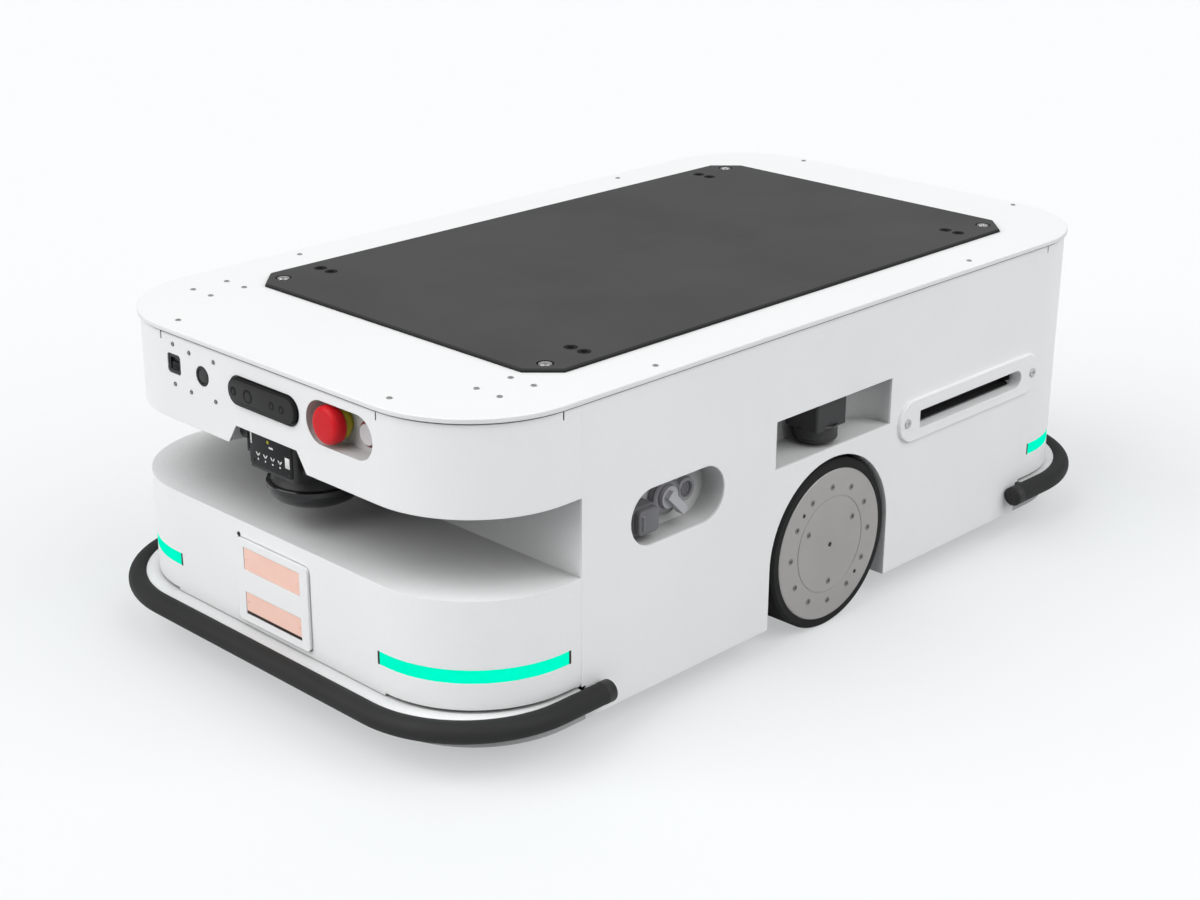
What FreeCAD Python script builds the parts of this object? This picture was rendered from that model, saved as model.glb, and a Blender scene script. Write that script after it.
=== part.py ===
import FreeCAD, Part
import math
import os

import Sketcher
from FreeCAD import Placement, Rotation, Vector

# Autonomous mobile robot: a low load carrier with two sprung drive wheels, four swivel casters,
# a bolted payload deck, contact bumpers front and rear, and scanners at the front and both sides.
# X points forward, Y to the robot's left and Z up. The origin is on the floor, at the middle of
# the footprint. Sizes are in millimetres.

doc = FreeCAD.newDocument("MobileRobot")
sheet = doc.addObject("Spreadsheet::Sheet", "Sheet")
nodes = []


# ---------------------------------------------------------------- sizes
class Size:
    """A length that knows both its value and the spreadsheet expression it comes from."""

    def __init__(self, text, value):
        self.text = text
        self.value = value

    def __add__(self, other):
        other = size(other)
        return Size("(%s + %s)" % (self.text, other.text), self.value + other.value)

    def __sub__(self, other):
        other = size(other)
        return Size("(%s - %s)" % (self.text, other.text), self.value - other.value)

    def __mul__(self, factor):
        factor = size(factor)
        return Size("(%s * %s)" % (self.text, factor.text), self.value * factor.value)

    def __truediv__(self, divisor):
        divisor = size(divisor)
        return Size("(%s / %s)" % (self.text, divisor.text), self.value / divisor.value)

    def __radd__(self, other):
        return size(other) + self

    def __rsub__(self, other):
        return size(other) - self

    def __rmul__(self, other):
        return self * other

    def __neg__(self):
        return Size("(0 - %s)" % self.text, -self.value)


def size(number):
    if isinstance(number, Size):
        return number
    return Size("(%.6f)" % number, float(number))


def cell(alias, value, note):
    """One driving dimension: a row of the sheet with its alias and its meaning."""
    row = cell.row = cell.row + 1
    sheet.set("A%d" % row, alias)
    sheet.set("B%d" % row, str(value))
    sheet.set("C%d" % row, note)
    sheet.setAlias("B%d" % row, alias)
    return Size("Sheet." + alias, float(value))


cell.row = 0

# outer skins
body_length = cell("bodyLength", 1075, "front skin to rear skin")
body_width = cell("bodyWidth", 600, "left skin to right skin")
corner_radius = cell("cornerRadius", 125, "vertical corners of the skins")
skin = cell("skinThickness", 2.5, "sheet metal of the skins")
ground_clearance = cell("groundClearance", 29, "underside of the floor pan")
panel_setback = cell("panelSetback", 149.5, "side panels end this far behind the front skin")
skirt_setback = cell("skirtSetback", 6, "side panels end this much earlier at the bumper")
shell_bottom = cell("shellBottom", 67, "lower edge of the front and rear shells")
corner_lift = cell("cornerLift", 3, "slit over the bumper plate at the corners")
lower_shell_height = cell("lowerShellHeight", 120, "front lower shell, up to the scan gap")
gap_height = cell("gapHeight", 84.5, "scan gap")
fascia_height = cell("fasciaHeight", 96.5, "front fascia, over the scan gap")
fold_width = cell("foldWidth", 12, "top flanges of the skins")
fold_radius = cell("foldRadius", 4.5, "bend of the front and rear top flanges")
notch_width = cell("notchWidth", 1.8, "bend relief at the top of each corner")
notch_depth = cell("notchDepth", 10, "depth of the bend relief")
# top cover and payload deck
cover_thickness = cell("coverThickness", 5, "top cover plate")
cover_overhang = cell("coverOverhang", 3, "top cover beyond the skins")
cover_gap = cell("coverGap", 1, "shadow line under the top cover")
deck_end_margin = cell("deckEndMargin", 132.5, "payload deck inside the skins, along X")
deck_side_margin = cell("deckSideMargin", 64, "payload deck inside the skins, along Y")
deck_thickness = cell("deckThickness", 4, "payload deck plate")
deck_shift = cell("deckShift", -27.5, "middle of the payload deck, along X")
deck_chamfer = cell("deckChamfer", 30, "cut corners of the payload deck")
deck_edge = cell("deckEdge", 1.5, "bevel round the payload deck")
screw_end_inset = cell("screwEndInset", 28.5, "corner screws from the deck's ends")
screw_side_inset = cell("screwSideInset", 26, "corner screws from the deck's sides")
hole_end_inset = cell("holeEndInset", 82, "payload holes from the deck's ends")
hole_inner_inset = cell("holeInnerInset", 44, "inner payload holes from the deck's sides")
hole_outer_inset = cell("holeOuterInset", 25, "outer payload holes from the deck's sides")
deck_hole_radius = cell("deckHoleRadius", 5, "payload holes")
# front fascia features
camera_length = cell("cameraLength", 114, "depth camera window")
camera_height = cell("cameraHeight", 33, "depth camera window")
control_drop = cell("controlDrop", 35, "camera, stop button and ports below the skin's top")
pocket_length = cell("pocketLength", 101, "stop button pocket")
pocket_height = cell("pocketHeight", 46.5, "stop button pocket")
pocket_depth = cell("pocketDepth", 22, "stop button pocket")
pocket_y = cell("pocketY", 118.5, "middle of the stop button pocket")
stop_y = cell("stopY", 100, "stop button axis")
stop_radius = cell("stopRadius", 20, "stop button head")
stop_travel = cell("stopTravel", 5, "stop button stroke")
start_y = cell("startY", 147.5, "start button axis")
start_radius = cell("startRadius", 11, "start button cap")
start_travel = cell("startTravel", 2.5, "start button stroke")
running_gap = cell("runningGap", 0.05, "radial clearance of shafts in bores")
# bumpers
bumper_reach = cell("bumperReach", 25, "bumper tube's middle ahead of the skin")
bumper_side = cell("bumperSide", 12, "bumper tube's middle beside the skin")
bumper_z = cell("bumperZ", 58, "height of the bumper tube's middle")
bumper_radius = cell("bumperRadius", 11.75, "bumper tube")
bumper_corner = cell("bumperCorner", 135, "corner of the bumper tube's middle line")
bumper_wrap = cell("bumperWrap", 28, "tube reaches this far past the side panels' ends")
bumper_travel = cell("bumperTravel", 8, "stroke of a bumper")
plate_bottom = cell("plateBottom", 62, "underside of the bumper plate")
plate_thickness = cell("plateThickness", 4, "bumper plate")
plate_inset = cell("plateInset", 40, "bumper plate inside the skin")
seat_gap = cell("seatGap", 0.3, "play between sliding faces")
# drive wheels
wheel_x = cell("wheelX", -7.5, "drive axle along X")
wheel_radius = cell("wheelRadius", 100, "drive tyre")
wheel_width = cell("wheelWidth", 46, "drive tyre")
rim_radius = cell("rimRadius", 80, "rim under the tyre")
disc_radius = cell("discRadius", 89.3, "outer disc of the hub")
disc_thickness = cell("discThickness", 3.5, "outer disc of the hub")
shaft_radius = cell("shaftRadius", 12, "output shaft of the gear motor")
arch_gap = cell("archGap", 5, "arch round the drive tyre")
arch_fold = cell("archFold", 22, "inward fold round the arch")
pivot_x = cell("pivotX", 105, "swing arm pivot along X")
pivot_z = cell("pivotZ", 105, "swing arm pivot height")
pivot_radius = cell("pivotRadius", 8, "swing arm pivot pin")
arm_inset = cell("armInset", 122, "inner face of the swing arm from the side skin")
arm_width = cell("armWidth", 22, "swing arm across")
spring_x = cell("springX", -112, "suspension spring along X")
spring_top = cell("springTop", 196, "upper seat of the suspension spring")
# casters
caster_end_inset = cell("casterEndInset", 132.5, "caster swivel from the end skin")
caster_side_inset = cell("casterSideInset", 120, "caster swivel from the side skin")
caster_radius = cell("casterRadius", 37.5, "caster wheel")
caster_width = cell("casterWidth", 30, "caster wheel")
caster_trail = cell("casterTrail", 27, "caster axle behind its swivel")
caster_height = cell("casterHeight", 106, "mounting face of the casters")
axle_radius = cell("axleRadius", 5, "caster axle")
king_radius = cell("kingRadius", 8, "caster swivel pin")
# scanners
hood_radius = cell("hoodRadius", 51, "front scanner window")
hood_inset = cell("hoodInset", 59.5, "front scanner axis from the front skin")
hood_drop = cell("hoodDrop", 57.5, "front scanner window's lower edge below the fascia")
hood_height = cell("hoodHeight", 22, "front scanner window")
scanner_half = cell("scannerHalf", 38, "half width of the front scanner housing")
scanner_rise = cell("scannerRise", 29.5, "front scanner's mounting face inside the fascia")
bay_length = cell("bayLength", 202.5, "opening of the side scanner bay")
bay_rise = cell("bayRise", 17.5, "floor of the side scanner bay over the drive tyre")
bay_height = cell("bayHeight", 55, "side scanner bay")
bay_depth = cell("bayDepth", 52, "side scanner bay behind the skin")
bay_radius = cell("bayRadius", 45, "inner corners of the side scanner bay")
eye_radius = cell("eyeRadius", 25, "side scanner window")
eye_inset = cell("eyeInset", 28, "side scanner axis from the side skin")
# left side pocket and handles
side_pocket_x = cell("sidePocketX", 247.5, "middle of the connector pocket")
side_pocket_rise = cell("sidePocketRise", 35.5, "middle of the pocket over the gap's floor")
side_pocket_length = cell("sidePocketLength", 141.5, "connector pocket")
side_pocket_height = cell("sidePocketHeight", 62, "connector pocket")
side_pocket_depth = cell("sidePocketDepth", 30, "connector pocket")
handle_x = cell("handleX", -266, "middle of a carrying handle")
handle_rise = cell("handleRise", 24, "middle of a carrying handle over the gap's floor")
handle_length = cell("handleLength", 284, "handle plate")
handle_height = cell("handleHeight", 51, "handle plate")
handle_proud = cell("handleProud", 4, "handle plate beyond the skin")
grip_length = cell("gripLength", 208, "finger slot")
grip_height = cell("gripHeight", 22, "finger slot")
grip_depth = cell("gripDepth", 30, "finger slot behind the skin")
# lights and charging panel
light_lift = cell("lightLift", 32, "light strips over the shells' lower edge")
light_height = cell("lightHeight", 14.5, "light strips")
light_tail = cell("lightTail", 10, "light strips past the corner, each way")
charge_width = cell("chargeWidth", 120, "charging panel")
charge_height = cell("chargeHeight", 94, "charging panel")
charge_lift = cell("chargeLift", 54, "middle of the charging panel over the shell's edge")
charge_proud = cell("chargeProud", 3, "charging panel beyond the skin")
contact_width = cell("contactWidth", 94, "charging contacts")
contact_height = cell("contactHeight", 26, "charging contacts")
contact_pitch = cell("contactPitch", 51, "between the charging contacts")

# power and control units, and the frame
battery_length = cell("batteryLength", 170, "battery pack, along X")
battery_height = cell("batteryHeight", 190, "battery pack")
control_height = cell("controlHeight", 140, "control box")
bridge_length = cell("bridgeLength", 156, "plate over a pair of casters, along X")
beam = cell("beamHeight", 25, "beams under the top cover")
rail = cell("railSize", 30, "square rails on the floor pan")

front_x = body_length / 2
side_y = body_width / 2
gap_floor = shell_bottom + lower_shell_height
gap_ceiling = gap_floor + gap_height
skin_top = gap_ceiling + fascia_height
cover_bottom = skin_top + cover_gap
cover_top = cover_bottom + cover_thickness
arc_x = front_x - corner_radius
arc_y = side_y - corner_radius
panel_end = front_x - panel_setback
skirt_end = panel_end - skirt_setback
floor_top = ground_clearance + 3
deck_length = body_length - 2 * deck_end_margin
deck_width = body_width - 2 * deck_side_margin
deck_screw_x = deck_length / 2 - screw_end_inset
deck_screw_y = deck_width / 2 - screw_side_inset
deck_hole_x = deck_length / 2 - hole_end_inset
deck_hole_inner = deck_width / 2 - hole_inner_inset
deck_hole_outer = deck_width / 2 - hole_outer_inset
control_z = skin_top - control_drop
bumper_end = panel_end - bumper_wrap
arm_y = side_y - arm_inset
caster_x = front_x - caster_end_inset
caster_y = side_y - caster_side_inset
hood_x = front_x - hood_inset
hood_bottom = gap_ceiling - hood_drop
scanner_top = gap_ceiling + scanner_rise
bay_floor = 2 * wheel_radius + bay_rise
eye_y = side_y - eye_inset
side_pocket_z = gap_floor + side_pocket_rise
handle_z = gap_floor + handle_rise
light_bottom = shell_bottom + light_lift
charge_z = shell_bottom + charge_lift


# ---------------------------------------------------------------- building blocks
TURN = {
    "z": Rotation(),
    "x": Rotation(Vector(1, 1, 1), 120),
    "y": Rotation(Vector(1, 0, 0), -90),
}


def bind(obj, prop, length):
    """Sets a property, and ties it to the sheet where the length comes from there."""
    if isinstance(length, Size):
        obj.setExpression(prop, length.text)
    else:
        setattr(obj, prop, length)


def place(obj, at, turn=Rotation()):
    obj.Placement = Placement(Vector(*[size(a).value for a in at]), turn)
    for axis, a in zip("xyz", at):
        if isinstance(a, Size):
            obj.setExpression("Placement.Base." + axis, a.text)
    return obj


def box(name, low, lengths):
    obj = doc.addObject("Part::Box", name)
    for prop, length in zip(("Length", "Width", "Height"), lengths):
        bind(obj, prop, length)
    return place(obj, low)


def cylinder(name, radius, height, at, axis="z"):
    """A cylinder that starts at a point and runs along an axis."""
    obj = doc.addObject("Part::Cylinder", name)
    bind(obj, "Radius", radius)
    bind(obj, "Height", height)
    return place(obj, at, TURN[axis])


def cone(name, radius, far_radius, height, at, axis="z"):
    obj = doc.addObject("Part::Cone", name)
    bind(obj, "Radius1", radius)
    bind(obj, "Radius2", far_radius)
    bind(obj, "Height", height)
    return place(obj, at, TURN[axis])


def quarter_torus(name, ring, tube, at, start):
    obj = doc.addObject("Part::Torus", name)
    bind(obj, "Radius1", ring)
    bind(obj, "Radius2", tube)
    obj.Angle3 = 90
    return place(obj, at, Rotation(Vector(0, 0, 1), start))


def fuse(name, *parts):
    obj = doc.addObject("Part::MultiFuse", name)
    obj.Shapes = list(parts)
    obj.Refine = True
    return obj


def cut(name, base, *tools):
    obj = doc.addObject("Part::Cut", name)
    obj.Base = base
    obj.Tool = tools[0] if len(tools) == 1 else fuse(name + "_tools", *tools)
    obj.Refine = True
    return obj


def common(name, base, tool):
    obj = doc.addObject("Part::Common", name)
    obj.Base = base
    obj.Tool = tool
    obj.Refine = True
    return obj


def compound(name, parts):
    obj = doc.addObject("Part::Compound", name)
    obj.Links = list(parts)
    return obj


def mirror(name, source, normal=(0, 1, 0)):
    obj = doc.addObject("Part::Mirroring", name)
    obj.Source = source
    obj.Normal = Vector(*normal)
    return obj


def extrude(name, sketch, length):
    obj = doc.addObject("Part::Extrusion", name)
    obj.Base = sketch
    obj.DirMode = "Normal"
    obj.Solid = True
    bind(obj, "LengthFwd", length)
    return obj


def dimension(sketch, constraint, length):
    index = sketch.addConstraint(constraint)
    if isinstance(length, Size):
        sketch.setExpression("Constraints[%d]" % index, length.text)


def polygon(sketch, points):
    """A closed outline whose corners are each dimensioned from the sketch's origin."""
    values = [(size(x).value, size(y).value) for x, y in points]
    count = len(points)
    for i in range(count):
        start, end = values[i], values[(i + 1) % count]
        sketch.addGeometry(Part.LineSegment(Vector(*start, 0), Vector(*end, 0)), False)
    for i in range(count):
        sketch.addConstraint(Sketcher.Constraint("Coincident", i, 2, (i + 1) % count, 1))
    for i, (x, y) in enumerate(points):
        dimension(sketch, Sketcher.Constraint("DistanceX", -1, 1, i, 1, values[i][0]), size(x))
        dimension(sketch, Sketcher.Constraint("DistanceY", -1, 1, i, 1, values[i][1]), size(y))


def prism(name, points, thickness, at, axis="z"):
    sketch = doc.addObject("Sketcher::SketchObject", name + "_outline")
    polygon(sketch, points)
    place(sketch, at, TURN[axis])
    return extrude(name, sketch, thickness)


def hexagon(name, radius, height, at, axis="z"):
    """A six-sided prism, by the radius of its corners."""
    obj = doc.addObject("Part::Prism", name)
    obj.Polygon = 6
    bind(obj, "Circumradius", radius)
    bind(obj, "Height", height)
    return place(obj, at, TURN[axis])


def rounded_plate(name, length, width, radius, thickness, at, axis="z"):
    """A plate with four round corners. Its base is centred on a point, its thickness runs along
    the axis; about X its length lies along Y, about Y and Z its length lies along X."""
    sketch = doc.addObject("Sketcher::SketchObject", name + "_outline")
    half_x, half_y, r = size(length).value / 2, size(width).value / 2, size(radius).value
    in_x, in_y = half_x - r, half_y - r
    line_ends = [((-in_x, -half_y), (in_x, -half_y)), ((half_x, -in_y), (half_x, in_y)),
                 ((in_x, half_y), (-in_x, half_y)), ((-half_x, in_y), (-half_x, -in_y))]
    arc_middles = [(in_x, -in_y), (in_x, in_y), (-in_x, in_y), (-in_x, -in_y)]
    for i in range(4):
        start, end = line_ends[i]
        sketch.addGeometry(Part.LineSegment(Vector(*start, 0), Vector(*end, 0)), False)
        circle = Part.Circle(Vector(*arc_middles[i], 0), Vector(0, 0, 1), r)
        first = math.radians(90 * (i - 1))
        sketch.addGeometry(Part.ArcOfCircle(circle, first, first + math.pi / 2), False)
    for i in range(8):
        sketch.addConstraint(Sketcher.Constraint("Tangent", i, 2, (i + 1) % 8, 1))
    for i in (3, 5, 7):
        sketch.addConstraint(Sketcher.Constraint("Equal", 1, i))
    for i in (0, 4):
        sketch.addConstraint(Sketcher.Constraint("Horizontal", i))
    for i in (2, 6):
        sketch.addConstraint(Sketcher.Constraint("Vertical", i))
    sketch.addConstraint(Sketcher.Constraint("Symmetric", 1, 3, 5, 3, -1, 1))
    dimension(sketch, Sketcher.Constraint("DistanceX", 6, 1, 2, 1, 2 * half_x), size(length))
    dimension(sketch, Sketcher.Constraint("DistanceY", 0, 1, 4, 1, 2 * half_y), size(width))
    dimension(sketch, Sketcher.Constraint("Radius", 1, r), size(radius))
    place(sketch, at, TURN[axis])
    return extrude(name, sketch, thickness)


def stadium(name, length, width, depth, at, axis):
    """A slot shape with round ends, centred on a point. About X its length lies along Y, about Y
    its length lies along X, and its width lies along Z."""
    x, y, z = at
    run = length - width
    if axis == "x":
        middle = box(name + "_middle", (x, y - run / 2, z - width / 2), (depth, run, width))
        ends = [(x, y - run / 2, z), (x, y + run / 2, z)]
    else:
        middle = box(name + "_middle", (x - run / 2, y, z - width / 2), (run, depth, width))
        ends = [(x - run / 2, y, z), (x + run / 2, y, z)]
    caps = [cylinder(name + "_cap", width / 2, depth, end, axis) for end in ends]
    return fuse(name, middle, *caps)


def turned(name, profile, at, axis):
    """A turned piece: its profile is given as (radius, height) pairs, height along the axis."""
    body = doc.addObject("PartDesign::Body", name)
    sketch = body.newObject("Sketcher::SketchObject", name + "_profile")
    plane = [f for f in body.Origin.OriginFeatures if f.Role == "XZ_Plane"][0]
    sketch.AttachmentSupport = [(plane, "")]
    sketch.MapMode = "FlatFace"
    polygon(sketch, profile)
    doc.recompute()
    turn = body.newObject("PartDesign::Revolution", name + "_turned")
    turn.Profile = sketch
    turn.ReferenceAxis = (sketch, ["V_Axis"])
    turn.Angle = 360
    body.Tip = turn
    return place(body, at, TURN[axis])


def soften(name, source, radius, chosen, kind="Fillet"):
    """Rounds or bevels the edges of a piece that the chosen test picks out."""
    doc.recompute()
    obj = doc.addObject("Part::" + kind, name)
    obj.Base = source
    radius = size(radius).value
    edges = [i + 1 for i, edge in enumerate(source.Shape.Edges) if chosen(edge)]
    obj.Edges = [(i, radius, radius) for i in edges]
    return obj


def node(name, obj):
    """Names a finished sub-part. Its label is the name of its file."""
    obj.Label = name
    nodes.append(obj)
    return obj


def body_slab(name, bottom, top, inset=0):
    """The robot's plan outline, drawn in by an inset, between two heights."""
    return rounded_plate(name, body_length - 2 * size(inset), body_width - 2 * size(inset),
                         corner_radius - inset, size(top) - bottom, (0, 0, bottom))


def beyond(name, x, low_z, high_z, sign=1):
    """Everything further forward than x, or further back than -x."""
    reach = body_length
    start = x if sign > 0 else -(x + reach)
    return box(name, (start, -body_width, low_z), (reach, 2 * body_width, size(high_z) - low_z))


def light_zone(name, sign_x, sign_y):
    """The window that a light strip fills, round one corner."""
    x, y = arc_x - light_tail, arc_y - light_tail
    low_x = x if sign_x > 0 else -(x + corner_radius + light_tail + 5)
    low_y = y if sign_y > 0 else -(y + corner_radius + light_tail + 5)
    span = corner_radius + light_tail + 5
    return box(name, (low_x, low_y, light_bottom), (span, span, light_height))


# ---------------------------------------------------------------- skins
def corner_slits(name, sign):
    """The dark slit over the bumper plate, round both corners of a shell."""
    tools = []
    for side in (1, -1):
        low_y = arc_y if side > 0 else -(arc_y + corner_radius + 5)
        low_x = skirt_end if sign > 0 else -(skirt_end + corner_radius + 60)
        tools.append(box(name, (low_x, low_y, shell_bottom - 1),
                         (corner_radius + 60, corner_radius + 5, corner_lift + 1)))
    return tools


def with_top_flange(name, skin_piece, sign, reliefs):
    """Lowers the straight runs of a skin by the shadow line, leaves the corners up to the cover,
    and folds a flange inwards along the top between the bend reliefs."""
    run = arc_y - notch_width / 2
    low_x = front_x - fold_width if sign > 0 else -front_x
    flange = box(name + "_flange", (low_x, -run, skin_top - skin), (fold_width, 2 * run, skin))
    lows = [box(name + "_low_front", (low_x if sign > 0 else low_x - 5, -arc_y, skin_top),
                (fold_width + 5, 2 * arc_y, cover_gap + 5))]
    side_x = panel_end - 5 if sign > 0 else -arc_x
    for side in (1, -1):
        low_y = side_y - fold_width if side > 0 else -(side_y + 5)
        lows.append(box(name + "_low_side", (side_x, low_y, skin_top),
                        (arc_x - panel_end + 5, fold_width + 5, cover_gap + 5)))
    lowered = cut(name + "_folded", fuse(name + "_flanged", skin_piece, flange), *lows, *reliefs)
    doc.recompute()
    level, face, half = skin_top.value, sign * front_x.value, run.value

    def outer_fold(edge):
        span = edge.BoundBox
        return (abs(span.XMin - face) < 1e-6 and abs(span.XMax - face) < 1e-6
                and abs(span.ZMin - level) < 1e-6 and abs(span.ZMax - level) < 1e-6
                and abs(span.YLength - 2 * half) < 1e-6)

    return soften(name + "_bent", lowered, fold_radius, outer_fold)


def bend_reliefs(name, sign):
    """Narrow notches where each top flange ends, at both ends of every corner."""
    tools = []
    low_z = skin_top - notch_depth
    for side in (1, -1):
        x = sign * (front_x - skin / 2)
        y = side * arc_y
        tools.append(box(name + "_front", (x - skin, y - notch_width / 2, low_z),
                         (2 * skin, notch_width, notch_depth + 1)))
        tools.append(box(name + "_side", (sign * arc_x - notch_width / 2,
                                          side * (side_y - skin / 2) - skin, low_z),
                         (notch_width, 2 * skin, notch_depth + 1)))
    return tools


def front_fascia():
    """Upper front skin over the scan gap: a tub with windows for the camera, the ports and the
    stop button, and a cut-out under the camera where the scanner housing shows."""
    outer = body_slab("fascia_outer", gap_ceiling, cover_bottom)
    inner = body_slab("fascia_inner", gap_ceiling + skin, cover_bottom + 5, skin)
    tub = cut("fascia_tub", outer, inner)
    half = common("fascia_half", tub, beyond("fascia_zone", panel_end, gap_ceiling, cover_bottom))
    front = with_top_flange("fascia", half, 1, bend_reliefs("fascia_relief", 1))
    behind = front_x - 3 * skin
    camera = stadium("camera_window", camera_length, camera_height, 6 * skin,
                     (behind, 0, control_z), "x")
    pocket = stadium("pocket_window", pocket_length, pocket_height, 6 * skin,
                     (behind, pocket_y, control_z), "x")
    square = rounded_plate("square_window", port_width, port_height, 4, 6 * skin,
                           (behind, square_y, control_z + 1.5), "x")
    round_hole = cylinder("round_window", port_radius, 6 * skin, (behind, round_y, control_z), "x")
    notch = prism("scanner_notch", [(-65, -1), (65, -1), (50, notch_rise), (-50, notch_rise)],
                  60, (front_x - 50, 0, gap_ceiling), "x")
    well = box("scanner_well", (hood_x - 50, -scanner_half - 2, gap_ceiling - 1),
               (110, 2 * scanner_half + 4, 10))
    return node("front_fascia", cut("front_fascia_cut", front, camera, pocket, square, round_hole,
                                    notch, well))


def front_lower_shell():
    """Lower front skin: a hood whose top is the floor of the scan gap, the wall behind that gap,
    windows for the light strips and an opening for the charging panel."""
    outer = body_slab("lower_outer", shell_bottom, gap_floor)
    inner = body_slab("lower_inner", shell_bottom - 1, gap_floor - skin, skin)
    hood = cut("lower_hood", outer, inner)
    front = common("lower_front", hood, beyond("lower_zone", panel_end, shell_bottom, gap_floor))
    wall = box("gap_wall", (panel_end - skin, -(side_y - skin), gap_floor - skin),
               (skin, 2 * (side_y - skin), gap_ceiling + skin - (gap_floor - skin)))
    whole = fuse("lower_whole", front, wall)
    opening = rounded_plate("charge_opening", charge_width + 2, charge_height + 2, 7, 6 * skin,
                            (front_x - 3 * skin, 0, charge_z), "x")
    windows = [light_zone("front_light_window", 1, side) for side in (1, -1)]
    return node("front_lower_shell", cut("front_lower_cut", whole, opening, *windows,
                                         *corner_slits("front_slit", 1)))


def rear_shell():
    """One-piece rear skin with windows for the light strips."""
    outer = body_slab("rear_outer", shell_bottom, cover_bottom)
    inner = body_slab("rear_inner", shell_bottom - 1, cover_bottom + 1, skin)
    ring = cut("rear_ring", outer, inner)
    half = common("rear_half", ring, beyond("rear_zone", panel_end, shell_bottom, cover_bottom, -1))
    rear = with_top_flange("rear", half, -1, bend_reliefs("rear_relief", -1))
    windows = [light_zone("rear_light_window", -1, side) for side in (1, -1)]
    return node("rear_shell", cut("rear_cut", rear, *windows, *corner_slits("rear_slit", -1)))


def side_panel(name, with_pocket):
    """Side skin with the wheel arch, the scanner opening and the handle opening."""
    sheet_plate = box(name + "_plate", (-panel_end, side_y - skin, ground_clearance),
                      (2 * panel_end, skin, skin_top - ground_clearance))
    arch = wheel_radius + arch_gap
    # the arch's edge is folded inwards all round the wheel
    folded = side_y - skin - arch_fold
    liner = fuse(name + "_liner",
                 cylinder(name + "_liner_arc", arch + skin, arch_fold + skin,
                          (wheel_x, folded, wheel_radius), "y"),
                 box(name + "_liner_legs", (wheel_x - arch - skin, folded, ground_clearance),
                     (2 * (arch + skin), arch_fold + skin, wheel_radius - ground_clearance)))
    liner_top = common(name + "_liner_kept", liner,
                       box(name + "_liner_zone", (wheel_x - 2 * arch, folded, ground_clearance),
                           (4 * arch, arch_fold + skin, 2 * wheel_radius)))
    plate = fuse(name + "_whole", sheet_plate, liner_top)
    through = side_y - 3 * skin
    deep = 6 * skin
    arch_deep = arch_fold + 3 * skin
    tools = [cylinder(name + "_arch", arch, arch_deep, (wheel_x, folded - skin, wheel_radius), "y"),
             box(name + "_arch_legs", (wheel_x - arch, folded - skin, 0),
                 (2 * arch, arch_deep, wheel_radius)),
             box(name + "_bay", (wheel_x - bay_length / 2, through, bay_floor),
                 (bay_length, deep, bay_height)),
             stadium(name + "_grip", grip_length + 6, grip_height + 12, deep,
                     (handle_x, through, handle_z), "y")]
    for sign in (1, -1):
        low_x = skirt_end if sign > 0 else -(skirt_end + 20)
        tools.append(box(name + "_step", (low_x, through, 0), (20, deep, shell_bottom)))
    if with_pocket:
        tools.append(stadium(name + "_pocket", side_pocket_length, side_pocket_height, deep,
                             (side_pocket_x, through, side_pocket_z), "y"))
    return cut(name + "_cut", plate, *tools)


def top_cover():
    """Thin top plate that overhangs the skins, with a softened upper edge."""
    plate = rounded_plate("cover_plate", body_length + 2 * cover_overhang,
                          body_width + 2 * cover_overhang, corner_radius + cover_overhang,
                          cover_thickness, (0, 0, cover_top - cover_thickness))
    soft = soften("cover_soft", plate, 0.8, at_height(cover_top), "Chamfer")
    return node("top_cover", cut("cover_cut", soft, *payload_holes("cover_hole")))


def at_height(height):
    """Picks the edges that lie flat at a height."""
    level = size(height).value
    return lambda edge: (abs(edge.BoundBox.ZMin - level) < 1e-6
                         and abs(edge.BoundBox.ZMax - level) < 1e-6)


def payload_holes(name):
    """Bores for the screws of a load, in pairs near the deck's corners."""
    low = cover_top - cover_thickness - 1
    return [cylinder(name, deck_hole_radius, cover_thickness + deck_thickness + 2,
                     (deck_shift + end * deck_hole_x, side * hole_y, low))
            for end in (1, -1) for side in (1, -1)
            for hole_y in (deck_hole_inner, deck_hole_outer)]


def payload_deck():
    """Black deck plate with cut corners, countersunk fixing screws and payload holes."""
    half_x, half_y, c = deck_length / 2, deck_width / 2, deck_chamfer
    outline = [(half_x, half_y - c), (half_x - c, half_y), (c - half_x, half_y),
               (-half_x, half_y - c), (-half_x, c - half_y), (c - half_x, -half_y),
               (half_x - c, -half_y), (half_x, c - half_y)]
    plate = prism("deck_outline", outline, deck_thickness, (deck_shift, 0, cover_top))
    top = cover_top + deck_thickness
    bevelled = soften("deck_bevelled", plate, deck_edge, at_height(top), "Chamfer")
    tools = payload_holes("deck_hole")
    screws = []
    for sx in (1, -1):
        for sy in (1, -1):
            x, y = deck_shift + sx * deck_screw_x, sy * deck_screw_y
            tools.append(cylinder("screw_seat", screw_head + 2, deck_thickness,
                                  (x, y, top - screw_seat)))
            head = cylinder("deck_screw_head", screw_head, screw_seat - 0.3,
                            (x, y, top - screw_seat))
            socket = hexagon("deck_screw_socket", screw_head / 2, 1.5, (x, y, top - 1.8))
            screws.append(cut("deck_screw", head, socket))
    node("deck_plate", cut("deck_cut", bevelled, *tools))
    node("deck_screws", compound("deck_screw_set", screws))


# ---------------------------------------------------------------- front details
port_width = cell("portWidth", 23, "square port")
port_height = cell("portHeight", 22, "square port")
port_radius = cell("portRadius", 11, "round port")
square_y = cell("squareY", -154, "square port")
round_y = cell("roundY", -104, "round port")
notch_rise = cell("notchRise", 21.5, "height of the cut-out under the camera")
screw_head = cell("screwHead", 7, "heads of the deck screws")
screw_seat = cell("screwSeat", 2.7, "depth of the deck screws' seats")


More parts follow.
